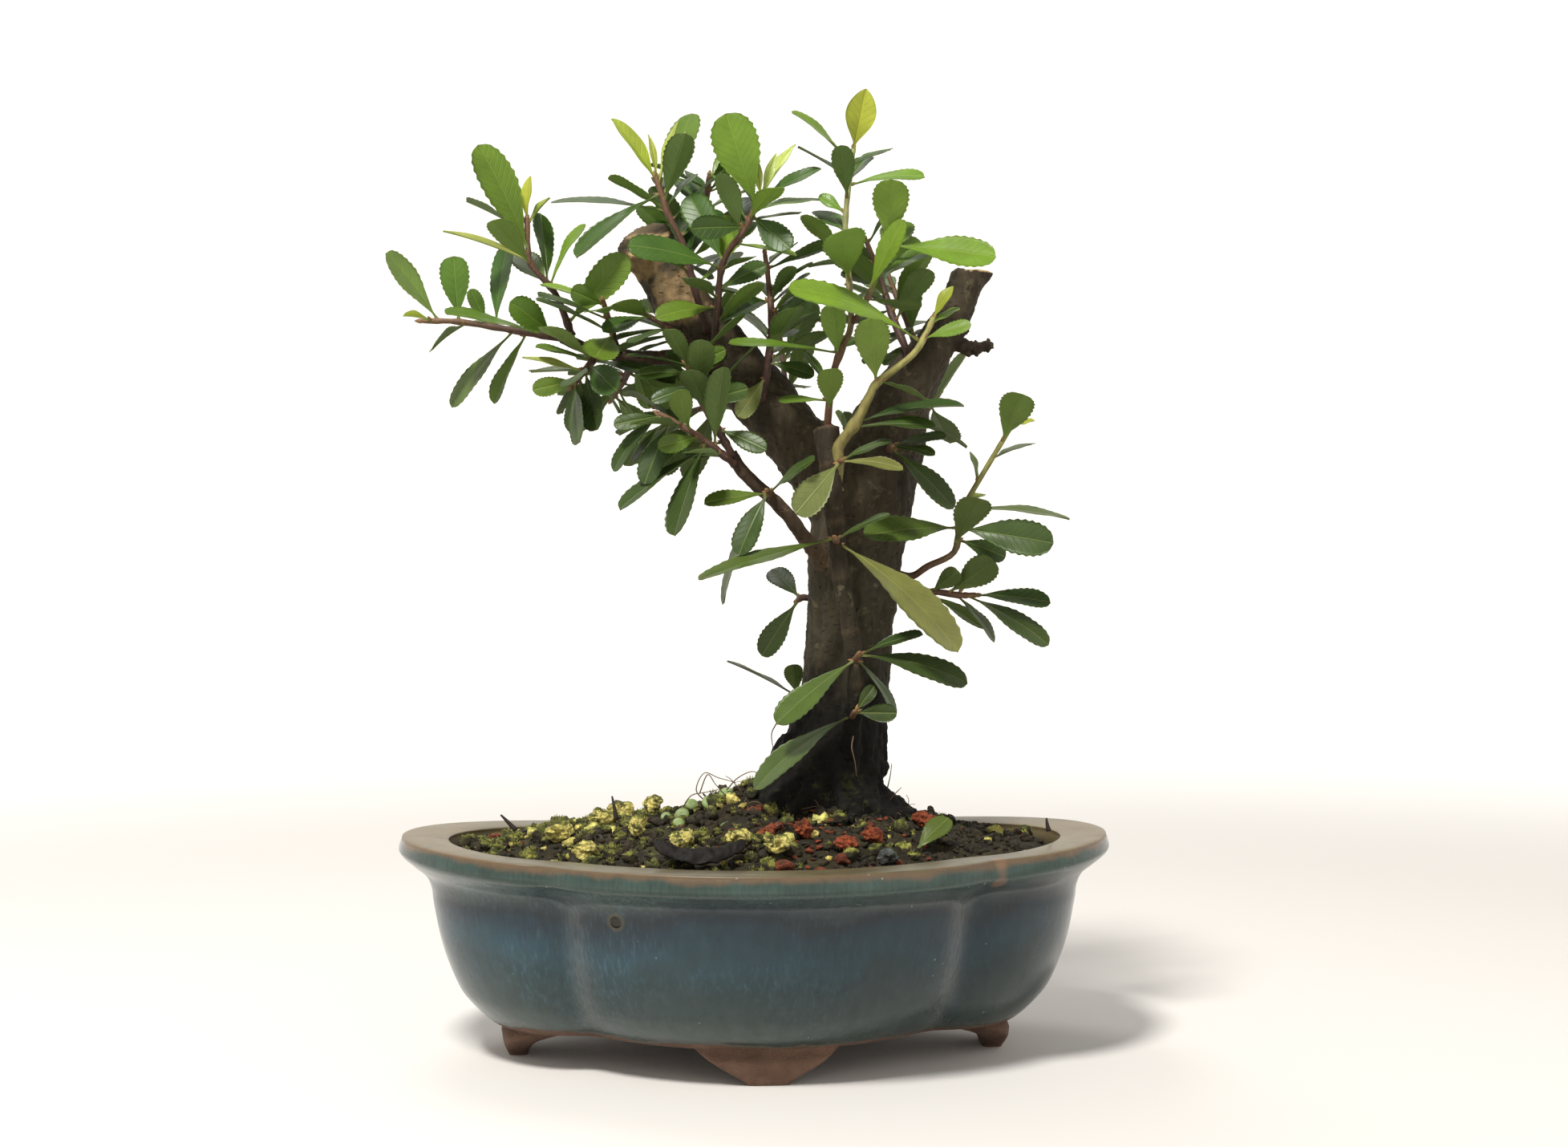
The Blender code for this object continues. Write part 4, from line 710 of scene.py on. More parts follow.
class Look:
    """A material whose nodes are made by short calls."""

    def __init__(self, name, rough=0.6, specular=0.5):
        self.mat = bpy.data.materials.new(name)
        self.mat.use_nodes = True
        self.tree = self.mat.node_tree
        self.bsdf = self.tree.nodes["Principled BSDF"]
        self.bsdf.inputs["Roughness"].default_value = rough
        self.bsdf.inputs["Specular IOR Level"].default_value = specular
        self.place = self.node("TexCoord").outputs["Object"]

    def node(self, kind, values=(), **props):
        node = self.tree.nodes.new("ShaderNode" + kind)
        for key, value in props.items():
            setattr(node, key, value)
        for key, value in dict(values).items():
            self.feed(node.inputs[key], value)
        return node

    def feed(self, socket, value):
        if isinstance(value, bpy.types.NodeSocket):
            self.tree.links.new(value, socket)
        elif socket.type == "RGBA" and len(value) == 3:
            socket.default_value = (*value, 1.0)
        else:
            socket.default_value = value

    def stretched(self, stretch):
        if stretch is None:
            return self.place
        return self.node("Mapping", {"Vector": self.place, "Scale": stretch}).outputs[0]

    def noise(self, scale, detail=4.0, rough=0.55, stretch=None, distort=0.0):
        return self.node("TexNoise", {"Vector": self.stretched(stretch), "Scale": scale,
                                      "Detail": detail, "Roughness": rough,
                                      "Distortion": distort}).outputs["Fac"]

    def cells(self, scale, stretch=None, feature="F1", out="Distance"):
        return self.node("TexVoronoi", {"Vector": self.stretched(stretch), "Scale": scale},
                         feature=feature).outputs[out]

    def maths(self, operation, a, b=0.0, c=0.0):
        return self.node("Math", {0: a, 1: b, 2: c}, operation=operation).outputs[0]

    def times(self, a, b):
        return self.maths("MULTIPLY", a, b)

    def scaled(self, a, b, c):
        return self.maths("MULTIPLY_ADD", a, b, c)

    def strayed(self, value, width, noise):
        """The value moved up and down by noise, over the width."""
        return self.scaled(self.maths("SUBTRACT", noise, 0.5), width, value)

    def band(self, value, low, high):
        """0 below low, 1 above high, eased between; low above high turns it round."""
        node = self.node("MapRange", {"Value": value, "From Min": low, "From Max": high},
                         interpolation_type="SMOOTHSTEP")
        return node.outputs[0]

    def ramp(self, fac, *stops):
        node = self.node("ValToRGB", {"Fac": fac})
        parts = node.color_ramp.elements
        while len(parts) < len(stops):
            parts.new(0.5)
        for part, (at, colour) in zip(parts, stops):
            part.position = at
            part.color = (*colour, 1.0)
        return node.outputs["Color"]

    def mix(self, fac, a, b, blend="MIX"):
        node = self.node("Mix", data_type="RGBA", blend_type=blend)
        for i, value in ((0, fac), (6, a), (7, b)):
            self.feed(node.inputs[i], value)
        return node.outputs[2]

    def over(self, colour, mask, amount, tint):
        """The colour with the tint laid over it by amount where the mask is 1."""
        return self.mix(self.times(mask, amount), colour, tint)

    def shade(self, colour, fac, low, high):
        """A colour made darker or lighter, times low to high as fac goes from 0.3 to 0.7."""
        grey = self.ramp(fac, (0.3, (low,) * 3), (0.7, (high,) * 3))
        return self.mix(1.0, colour, grey, "MULTIPLY")

    def bump(self, height, depth, before=None):
        values = {"Height": height, "Distance": depth * MM, "Strength": 1.0}
        if before:
            values["Normal"] = before
        return self.node("Bump", values).outputs[0]

    def attribute(self, name, out="Fac"):
        return self.node("Attribute", attribute_name=name).outputs[out]

    def axes(self, source):
        return self.node("SeparateXYZ", {"Vector": source}).outputs

    def near(self, x, y, z, stretch=(1.0, 1.0, 1.0)):
        """Distance in millimetres from a spot, each axis divided by its stretch."""
        scale = [1.0 / (MM * s) for s in stretch]
        moved = self.node("VectorMath", {0: self.place, 1: (x * MM, y * MM, z * MM)},
                          operation="SUBTRACT").outputs[0]
        sized = self.node("VectorMath", {0: moved, 1: scale}, operation="MULTIPLY").outputs[0]
        return self.node("VectorMath", {0: sized}, operation="LENGTH").outputs["Value"]

    def done(self, colour, rough=None, normal=None):
        for key, value in (("Base Color", colour), ("Roughness", rough), ("Normal", normal)):
            if value is not None:
                self.feed(self.bsdf.inputs[key], value)
        return self.mat


def glaze_look():
    k = Look("glaze", specular=0.42)
    run = k.attribute("run")
    x, _, z = k.axes(k.place)
    streak = k.noise(1100.0, 3.0, 0.6, (1.0, 1.0, 0.1))
    patch = k.noise(32.0, 4.0, 0.55, (1.0, 1.0, 1.5), 0.6)
    wander = k.strayed(z, 0.02, patch)
    level = k.times(wander, 1 / 0.06)
    # The glaze's colour by height; its two top stops, on the cove under the lip, are made lighter
    # as a painted reflection of the bright floor.
    body = k.ramp(level, (0.2, srgb(57, 68, 64)), (0.34, srgb(48, 60, 60)),
                  (0.5, srgb(38, 54, 57)), (0.61, srgb(35, 58, 67)), (0.7, srgb(32, 50, 60)),
                  (0.75, srgb(33, 42, 48)), (0.81, srgb(50, 59, 60)), (0.89, srgb(58, 70, 67)))
    # Painted light and shade: the glaze body is lightened on the left and darkened on the right, as
    # if lit from the left.
    body = k.shade(body, k.scaled(x, -3.6, 0.5), 0.76, 1.3)
    pale = k.times(k.band(streak, 0.45, 0.75), k.band(patch, 0.35, 0.65))
    # The pale glaze streaks are laid on more strongly on the left, as painted light.
    lit = k.scaled(k.band(x, 0.05, -0.05), 0.2, 0.06)
    body = k.mix(k.times(pale, lit), body, srgb(84, 116, 134))
    body = k.shade(body, k.noise(260.0, 3.0, 0.65, (1.0, 1.0, 0.4)), 0.84, 1.16)
    # Painted highlight: a lighter band down each crease's rounded shoulder on the long sides,
    # partly thinner glaze and partly a painted reflection of the light.
    shoulder = k.times(k.attribute("shoulder"), k.band(streak, 0.2, 0.6))
    body = k.over(body, shoulder, 0.5, srgb(90, 96, 96))
    # Painted shade: the crease valleys are darkened, most on the end lobes' side.
    body = k.over(body, k.attribute("valley"), 0.4, srgb(30, 48, 56))
    lip = k.shade(srgb(47, 64, 59), k.noise(90.0, 4.0, 0.6), 0.78, 1.22)
    lip = k.shade(lip, streak, 0.8, 1.2)
    on_lip = k.band(k.scaled(patch, 0.8, run), 10.6, 11.6)
    colour = k.mix(on_lip, body, lip)
    far = k.band(k.maths("ABSOLUTE", x), 0.055, 0.095)
    tan = k.mix(far, srgb(86, 79, 57), srgb(104, 90, 62))
    tan = k.shade(tan, k.noise(140.0, 5.0, 0.6), 0.78, 1.2)
    edge = k.strayed(run, 2.2, k.noise(60.0, 4.0, 0.6))
    on_rim = k.times(k.band(edge, 12.8, 13.5), k.band(run, 17.2, 16.0))
    colour = k.mix(on_rim, colour, tan)
    line = k.times(k.band(edge, 12.5, 13.0), k.band(edge, 13.9, 13.4))
    colour = k.over(colour, line, 0.6, srgb(100, 76, 56))
    drip = k.band(k.scaled(patch, 3.0, k.near(60.5, -49.5, 55.0, (0.42, 0.42, 1.3))),
                  8.6, 5.4)
    colour = k.over(colour, drip, 0.45, srgb(132, 98, 74))
    specks = k.times(k.band(k.cells(420.0), 0.14, 0.07), k.band(k.noise(150.0), 0.6, 0.66))
    flecks = k.times(k.band(k.cells(150.0, (1.0, 1.0, 0.6)), 0.09, 0.05),
                     k.band(k.noise(70.0), 0.56, 0.62))
    colour = k.over(colour, k.maths("MAXIMUM", specks, flecks), 0.45, srgb(150, 170, 168))
    pit = k.band(k.near(*FLAW, (1.0, 1.0, 0.9)), 1.9, 1.2)
    ring = k.band(k.near(*FLAW), 3.0, 1.8)
    colour = k.over(colour, ring, 0.55, srgb(92, 84, 60))
    colour = k.mix(pit, colour, srgb(34, 32, 26))
    crust = k.times(k.band(k.near(-9.0, -60.5, 12.6, (8.0, 3.0, 1.0)), 2.3, 0.9),
                    k.band(k.noise(420.0, 3.0, 0.7), 0.46, 0.6))
    colour = k.over(colour, crust, 0.8, srgb(176, 182, 176))
    clay = k.shade(srgb(98, 74, 59), k.noise(120.0, 6.0, 0.65), 0.62, 1.25)
    clay = k.over(clay, k.band(k.noise(300.0, 3.0), 0.6, 0.7), 0.5, srgb(88, 66, 54))
    low = k.strayed(z, 0.006, k.noise(45.0, 4.0, 0.6))
    bare = k.band(low, 0.0112, 0.0104)
    inner = k.band(run, 19.5, 20.2)
    bare = k.maths("MAXIMUM", k.maths("MAXIMUM", bare, inner), k.band(run, -1.0, -2.0))
    colour = k.mix(bare, colour, clay)
    seam = k.times(k.band(low, 0.0102, 0.0110), k.band(low, 0.0128, 0.0116))
    colour = k.over(colour, seam, 0.5, srgb(58, 60, 52))
    gloss = k.ramp(k.noise(90.0, 3.0), (0.35, (0.13,) * 3), (0.7, (0.25,) * 3))
    gloss = k.mix(k.times(on_rim, 0.6), gloss, (0.5,) * 3)
    rough = k.mix(bare, gloss, (0.85,) * 3)
    grit = k.times(bare, k.noise(1400.0, 2.0, 0.7))
    skin = k.bump(k.noise(420.0, 1.0, 0.5), 0.05)
    normal = k.bump(grit, 0.5, k.bump(k.times(pit, -1.0), 0.7, skin))
    return k.done(colour, rough, normal)


def bark_look():
    k = Look("bark", 0.8, 0.25)
    z = k.axes(k.place)[2]
    tint = k.attribute("tint", "Color")
    grain = k.noise(420.0, 4.0, 0.62, (1.0, 1.0, 0.22), 0.5)
    colour = k.shade(tint, grain, 0.6, 1.3)
    colour = k.shade(colour, k.noise(75.0, 4.0, 0.6), 0.7, 1.22)
    lichen = k.times(k.band(k.noise(260.0, 5.0, 0.7), 0.57, 0.68), 0.3)
    colour = k.mix(lichen, colour, srgb(118, 110, 84))
    pores = k.band(k.cells(330.0, (1.0, 1.0, 1.9)), 0.24, 0.12)
    colour = k.over(colour, pores, 0.55, srgb(46, 37, 28))
    fade = k.strayed(z, 0.034, k.noise(85.0, 4.0, 0.6))
    wet = k.band(fade, 0.112, 0.093)
    mud = k.shade(srgb(15, 13, 10), k.noise(500.0, 5.0, 0.7), 0.5, 1.7)
    moss = k.times(k.band(k.noise(170.0, 5.0, 0.7), 0.55, 0.66), k.band(z, 0.086, 0.07))
    mud = k.over(mud, moss, 0.7, srgb(62, 64, 30))
    colour = k.mix(wet, colour, mud)
    wood = k.shade(srgb(176, 150, 106), k.noise(300.0, 5.0, 0.6), 0.7, 1.15)
    wood = k.over(wood, k.band(k.noise(130.0, 4.0), 0.5, 0.66), 0.6, srgb(116, 88, 56))
    colour = k.mix(k.attribute("cut"), colour, wood)
    normal = k.bump(grain, 0.45)
    normal = k.bump(k.noise(1500.0, 2.0, 0.7), 0.16, normal)
    normal = k.bump(pores, 0.25, normal)
    return k.done(colour, k.mix(wet, (0.78,) * 3, (0.9,) * 3), normal)


def twig_look():
    k = Look("twig", 0.6, 0.4)
    colour = k.shade(k.attribute("tint", "Color"), k.noise(600.0, 4.0, 0.6, (1.0, 1.0, 0.5)),
                     0.7, 1.3)
    dots = k.band(k.cells(900.0), 0.2, 0.1)
    colour = k.over(colour, dots, 0.35, srgb(150, 132, 104))
    return k.done(colour, None, k.bump(k.noise(1600.0, 3.0), 0.12))


def leaf_look():
    k = Look("leaf", 0.42, 0.42)
    tint = k.attribute("tint", "Color")
    along, across, side = k.axes(k.attribute("along", "Vector"))
    off = k.maths("ABSOLUTE", across)
    colour = k.shade(tint, k.noise(130.0, 3.0), 0.84, 1.16)
    slant = k.scaled(off, -0.95, along)
    beat = k.maths("SINE", k.times(slant, math.tau / 2.1))
    veins = k.times(k.band(beat, 0.86, 1.0), k.band(off, 0.1, 0.6))
    rib = k.times(k.band(off, 0.28, 0.1), k.band(along, -1.5, 0.5))
    light = k.mix(0.4, k.mix(1.0, tint, (1.6, 1.5, 1.3), "MULTIPLY"), srgb(160, 172, 92))
    colour = k.over(colour, veins, 0.1, light)
    colour = k.over(colour, rib, 0.5, light)
    under = k.mix(0.4, colour, srgb(130, 148, 84))
    colour = k.mix(side, under, colour)
    stem = k.band(along, 1.6, -0.8)
    colour = k.over(colour, stem, 0.7, srgb(128, 132, 70))
    rough = k.mix(side, (0.62,) * 3, (0.4,) * 3)
    relief = k.scaled(veins, -0.5, k.times(rib, -1.0))
    normal = k.bump(relief, 0.14)
    k.done(colour, rough, normal)
    glow = k.node("BsdfTranslucent", {"Color": k.mix(1.0, colour, (1.35, 1.45, 0.7), "MULTIPLY"),
                                      "Normal": normal})
    both = k.node("MixShader", {0: 0.3, 1: k.bsdf.outputs[0], 2: glow.outputs[0]})
    k.feed(k.tree.nodes["Material Output"].inputs["Surface"], both.outputs[0])
    return k.mat


def soil_look():
    k = Look("soil", 0.9, 0.3)
    colour = k.ramp(k.noise(180.0, 6.0, 0.7), (0.35, srgb(22, 20, 13)), (0.55, srgb(46, 40, 26)),
                    (0.7, srgb(74, 66, 42)))
    moss = k.times(k.band(k.noise(60.0, 4.0, 0.6), 0.52, 0.66),
                   k.band(k.axes(k.place)[0], 0.03, -0.02))
    colour = k.over(colour, moss, 0.6, srgb(66, 66, 34))
    normal = k.bump(k.noise(700.0, 4.0, 0.75), 0.9, k.bump(k.cells(500.0), 0.5))
    return k.done(colour, None, normal)


def grain_look(name, rough=0.88, moss=0.0, crumb=0.45):
    """Grit and stone: the tint, mottled and pitted, with moss where it faces up."""
    k = Look(name, rough, 0.35)
    colour = k.shade(k.attribute("tint", "Color"), k.noise(420.0, 6.0, 0.7), 0.5, 1.5)
    up = k.axes(k.node("NewGeometry").outputs["Normal"])[2]
    if moss:
        green = k.ramp(k.noise(200.0, 6.0, 0.75), (0.36, srgb(38, 40, 18)),
                       (0.48, srgb(80, 84, 33)), (0.58, srgb(132, 132, 58)),
                       (0.7, srgb(184, 178, 104)))
        top = k.band(k.scaled(k.noise(180.0, 5.0, 0.65), 2.2, up), 2.1 - moss, 2.5 - moss)
        colour = k.mix(top, colour, green)
    pits = k.cells(900.0)
    colour = k.mix(k.times(k.band(pits, 0.25, 0.08), 0.5), colour, srgb(24, 20, 14))
    dust = k.times(k.band(k.noise(340.0, 5.0, 0.7), 0.5, 0.62), 0.75)
    colour = k.mix(dust, colour, srgb(34, 28, 18))
    normal = k.bump(pits, crumb, k.bump(k.noise(1200.0, 3.0, 0.75), crumb))
    return k.done(colour, None, normal)


def plain_look(name, colour, rough, scale=500.0, low=0.8, high=1.2, depth=0.15, specular=0.45):
    k = Look(name, rough, specular)
    fac = k.noise(scale, 5.0, 0.62)
    return k.done(k.shade(colour, fac, low, high), None, k.bump(fac, depth))


def outward(verts, faces):
    """The faces, turned round if they point inwards."""
    v = np.array([tuple(p) for p in verts])
    total = 0.0
    for f in faces:
        a = v[f[0]]
        for b, c in zip(f[1:], f[2:]):
            total += float(np.dot(a, np.cross(v[b], v[c])))
    return faces if total > 0 else [tuple(reversed(f)) for f in faces]


class Heap:
    """Vertices and faces of one piece as it grows, with what its materials read."""

    def __init__(self):
        self.verts, self.faces, self.looks, self.tint, self.along = [], [], [], [], []

    def add(self, verts, faces, tint=(0.5, 0.5, 0.5), look=0, along=None):
        base = len(self.verts)
        self.verts += [tuple(v) for v in verts]
        self.faces += [tuple(int(i) + base for i in f) for f in faces]
        self.looks += [look] * len(faces)
        self.tint += [tint] * len(verts) if np.ndim(tint) == 1 else [tuple(t) for t in tint]
        self.along += along or [(0.0, 0.0, 1.0)] * len(verts)

    def solid(self, verts, faces, *rest):
        self.add(verts, outward(verts, faces), *rest)


def finish_piece(obj, nodes):
    obj.data.shade_smooth()
    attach(obj, "root")
    if nodes:
        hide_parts(*nodes)
    return obj


def attribute(mesh, name, values, kind="FLOAT", key="value"):
    mesh.attributes.new(name, kind, "POINT").data.foreach_set(key, np.ravel(values))


def linked(name, data):
    obj = bpy.data.objects.new(name, data)
    bpy.context.collection.objects.link(obj)
    return obj


def surface(name, verts, faces):
    """A mesh from points in millimetres."""
    mesh = bpy.data.meshes.new(name)
    mesh.from_pydata([(x * MM, y * MM, z * MM) for x, y, z in verts], [], faces)
    return mesh


def make(name, heap, looks, slot, *nodes):
    mesh = surface(name, heap.verts, heap.faces)
    for look in looks:
        mesh.materials.append(look)
    mesh.polygons.foreach_set("material_index", heap.looks)
    attribute(mesh, "tint", [(*t, 1.0) for t in heap.tint], "FLOAT_COLOR", "color")
    attribute(mesh, "along", heap.along, "FLOAT_VECTOR", "vector")
    return finish_piece(linked(name, mesh), nodes)


def settle(obj):
    bpy.context.view_layer.update()
    mesh = bpy.data.meshes.new_from_object(obj.evaluated_get(bpy.context.evaluated_depsgraph_get()))
    obj.modifiers.clear()
    obj.data = mesh


# Pot

def soften(ring, rounds=2):
    p = np.array([tuple(v) for v in ring])
    for _ in range(rounds):
        p = 0.5 * p + 0.25 * (np.roll(p, 1, 0) + np.roll(p, -1, 0))
    return p


def widened(ring):
    """A ring of the pot whose creases stand a little further out along its length."""
    p = np.array(ring, float)
    p[:, 0] *= 1.0 + 0.038 * np.exp(-((np.abs(p[:, 0]) - 52.0) / 16.0) ** 2)
    return p


CREASES = (0, LONG_STEPS, LONG_STEPS + END_STEPS, 2 * LONG_STEPS + END_STEPS)


def creased(ring, depth):
    """A softened ring of the pot, its four creases pressed in by depth."""
    p = widened(soften(ring, 9))
    for i in CREASES:
        far = np.linalg.norm(p - p[i], axis=1)
        p = p - np.outer(np.exp(-(far / 5.2) ** 2) * depth, (0.0, math.copysign(1.0, p[i][1]), 0.0))
    return p


def shoulders():
    """How far each point of a ring is on a crease's rounded shoulder, and in its valley: the masks
    of the glaze's painted highlight and painted shade.
    """
    ring = soften(pot_ring(-1.6, 40.0))
    out, deep = np.zeros(len(ring)), np.zeros(len(ring))
    for side, i in enumerate(CREASES):
        far = np.linalg.norm(ring - ring[i], axis=1)
        on_long = (np.arange(len(ring)) - i) % len(ring) < LONG_STEPS
        if side % 2:
            on_long = (i - np.arange(len(ring))) % len(ring) < LONG_STEPS
        out = np.maximum(out, np.exp(-((far - 4.6) / 2.7) ** 2) * np.where(on_long, 1.0, 0.0))
        deep = np.maximum(deep, np.exp(-(far / 4.4) ** 2) * np.where(on_long, 0.2, 1.0))
    return out, deep


def rounded_box(u, v, half_u, half_v, power=0.38, count=44):
    """Points around a box with rounded corners."""
    return [(u + half_u * math.copysign(abs(c) ** power, c),
             v + half_v * math.copysign(abs(s) ** power, s)) for c, s in compass(count)]


def dress_pot(look):
    heap = Heap()
    steps = 5
    rings = []
    profile = list(OUTER + INNER)
    profile[8:12] = (-1.0, 46.0), (0.8, 48.9), (4.3, 51.2), (7.2, 53.1)
    for i, (o, z) in enumerate(spline(profile, steps)):
        depth = 1.7 * ease(z, 11.0, 22.0) * ease(i / steps, 15.5, 13.0)
        depth *= 1.0 - 0.5 * ease(z, 45.0, 52.0)
        ring = creased(pot_ring(o, z), depth)
        cove = 0.9 * ease(z, 42.0, 49.0) * ease(z, 56.5, 53.5) * (i < 13 * steps)
        ring[:, 2] += cove * np.interp(np.abs(ring[:, 0]), (50.0, 98.0), (0.0, 1.0))
        rings.append(ring)
    count = len(rings[0])
    verts = np.concatenate(rings)
    faces = []
    for i in range(len(rings) - 1):
        for j in range(count):
            a, b = i * count + j, i * count + (j + 1) % count
            faces.append((a, b, b + count, a + count))
    heap.add(verts, faces)
    run = list(np.repeat(np.arange(len(rings)) / steps, count))
    folds = [list(np.tile(fold, len(rings))) for fold in shoulders()]
    circles = [[(side * DRAIN_X + DRAIN_R * c, DRAIN_R * s) for c, s in compass(DRAIN_SIDES)]
               for side in (-1, 1)]
    for ring, z in ((rings[0], BASE_Z), (rings[-1], FLOOR_Z)):
        loops = [[Vector((x, y, z)) for x, y, _ in ring]]
        loops += [[Vector((x, y, z)) for x, y in circle] for circle in circles]
        flat = [p for loop in loops for p in loop]
        tris = tessellate_polygon(loops)
        down = z == BASE_Z
        turned_right = []
        for t in tris:
            a, b, c = (flat[i] for i in t)
            up = (b - a).cross(c - a).z > 0
            turned_right.append(tuple(reversed(t)) if up == down else tuple(t))
        heap.add(flat, turned_right)
        run += [0.0 if down else 21.0] * len(flat)
    for circle in circles:
        wall = [(x, y, z) for z in (BASE_Z, FLOOR_Z) for x, y in circle]
        n = DRAIN_SIDES
        heap.add(wall, [((i + 1) % n, i, i + n, (i + 1) % n + n) for i in range(n)])
        run += [0.0] * 2 * n
    for i in range(4):
        outer, radius = ((FOOT_END_X, LOBE_R), (FOOT_LONG_Y, LONG_R))[i % 2]
        c, s = math.cos(i * math.pi / 2), math.sin(i * math.pi / 2)
        levels = []
        for z, half, lean, thick in spline(FOOT_LEVELS, 5):
            box = rounded_box(outer + lean - thick / 2, 0.0, thick / 2, half)
            follow, bow = ease(z, 1.5, 9.0), radius - 17.0
            back = 2.2 * ease(z, 6.0, 9.6)
            ring = []
            for u, v in box:
                u -= follow * (bow - math.sqrt(max(bow * bow - v * v, 0.0))) + back
                ring.append(Vector((u * c - v * s, u * s + v * c, min(z, 11.2))))
            levels.append(ring)
        shape, sides = loft(levels)
        heap.solid(shape, sides)
        run += [-3.0] * len(shape)
    pot = make("glazed_pot", heap, [look], "glaze", "pot")
    attribute(pot.data, "run", run)
    for name, fold in zip(("shoulder", "valley"), folds):
        attribute(pot.data, name, fold + [0.0] * (len(run) - len(fold)))


# Soil

class Rim:
    """A closed line about the origin, read as its distance in any direction."""

    def __init__(self, points):
        angles = np.arctan2(points[:, 1], points[:, 0])
        order = np.argsort(angles)
        self.angles, self.reach = angles[order], np.hypot(points[:, 0], points[:, 1])[order]

    def at(self, x, y):
        return float(np.interp(math.atan2(y, x), self.angles, self.reach, period=math.tau))


class Ground:
    """The top of the soil: how far out a spot is, and how high."""

    def __init__(self):
        self.edge = widened(soften([(x, y, 0.0) for x, y in lobe_outline(SOIL_INSET)]))
        self.wall = Rim(self.edge)
        self.middle = turned(FLARE_X, 0.0, 0.0)
        ring = np.array([tuple(p) for p in trunk_rings()[3]])
        self.flare = Rim(ring - np.array(self.middle))

    def far(self, x, y):
        return math.hypot(x, y) / self.wall.at(x, y)

    def trunk(self, x, y):
        """Distance of a spot from the trunk's flare."""
        x, y = x - self.middle.x, y - self.middle.y
        return math.hypot(x, y) - self.flare.at(x, y)

    def height(self, x, y):
        f = self.far(x, y)
        rough = 0.8 * lump((x, y, 0.0), 9.0) + 0.5 * lump((x, y, 7.0), 3.0)
        rise = 0.5 * upsweep(x)
        at = seen(936, 980, -8)
        mound = 3.4 * math.exp(-((x - at.x) ** 2 + (y - at.y) ** 2) / 40.0)
        return soil_height(x, y, min(f, 1.0)) + rough * ease(f, 1.0, 0.94) + rise + mound


def dress_soil(ground, look):
    heap = Heap()
    base, rim = [], ground.edge
    for x, y, _ in rim:
        dx, dy = x - ground.middle.x, y - ground.middle.y
        reach = ground.flare.at(dx, dy) - 1.2
        far = math.hypot(dx, dy)
        base.append((ground.middle.x + dx / far * reach, ground.middle.y + dy / far * reach))
    rings = [[(x, y, 46.0) for x, y in base], [(x, y, 58.0) for x, y in base]]
    for i in range(SOIL_ROWS + 1):
        f = i / SOIL_ROWS
        ring = []
        for (x0, y0), (x1, y1, _) in zip(base, rim):
            x, y = x0 + (x1 - x0) * f, y0 + (y1 - y0) * f
            ring.append((x, y, ground.height(x, y)))
        rings.append(ring)
    side = [(o - 2 * GAP, z) for o, z in INNER if z < 54]
    for o, z in side:
        rings.append(widened(soften(pot_ring(o, z + (2.0 if z == FLOOR_Z else 0.0)))))
    heap.solid(*loft(rings))
    make("potting_soil", heap, [look], "soil", "soil")


def icosphere(detail):
    bm = bmesh.new()
    bmesh.ops.create_icosphere(bm, subdivisions=detail, radius=1.0)
    verts = [v.co.copy() for v in bm.verts]
    faces = [tuple(v.index for v in f.verts) for f in bm.faces]
    bm.free()
    return verts, faces


def pebble(rng, at, size, squash, shapes, rough=0.24):
    """An uneven lump about the point at."""
    verts, faces = shapes[2 if size > 1.7 else 1]
    turn = Euler([rng.uniform(0, math.tau) for _ in range(3)]).to_matrix()
    stretch = Vector((1.0, rng.uniform(0.7, 1.0), rng.uniform(0.55, 0.9)))
    seed = Vector([rng.uniform(-50, 50) for _ in range(3)])
    out = []
    for v in verts:
        k = 1.0 + rough * noise.noise(v * 1.3 + seed) * 2.2 + rng.uniform(-0.06, 0.06)
        p = turn @ Vector((v.x * stretch.x, v.y * stretch.y, v.z * stretch.z)) * (size * k)
        out.append(at + Vector((p.x, p.y, p.z * squash)))
    return out, faces


def tinted(rng, colour, spread=0.25):
    k = rng.uniform(1 - spread, 1 + spread)
    return tuple(c * k * rng.uniform(0.92, 1.08) for c in colour)


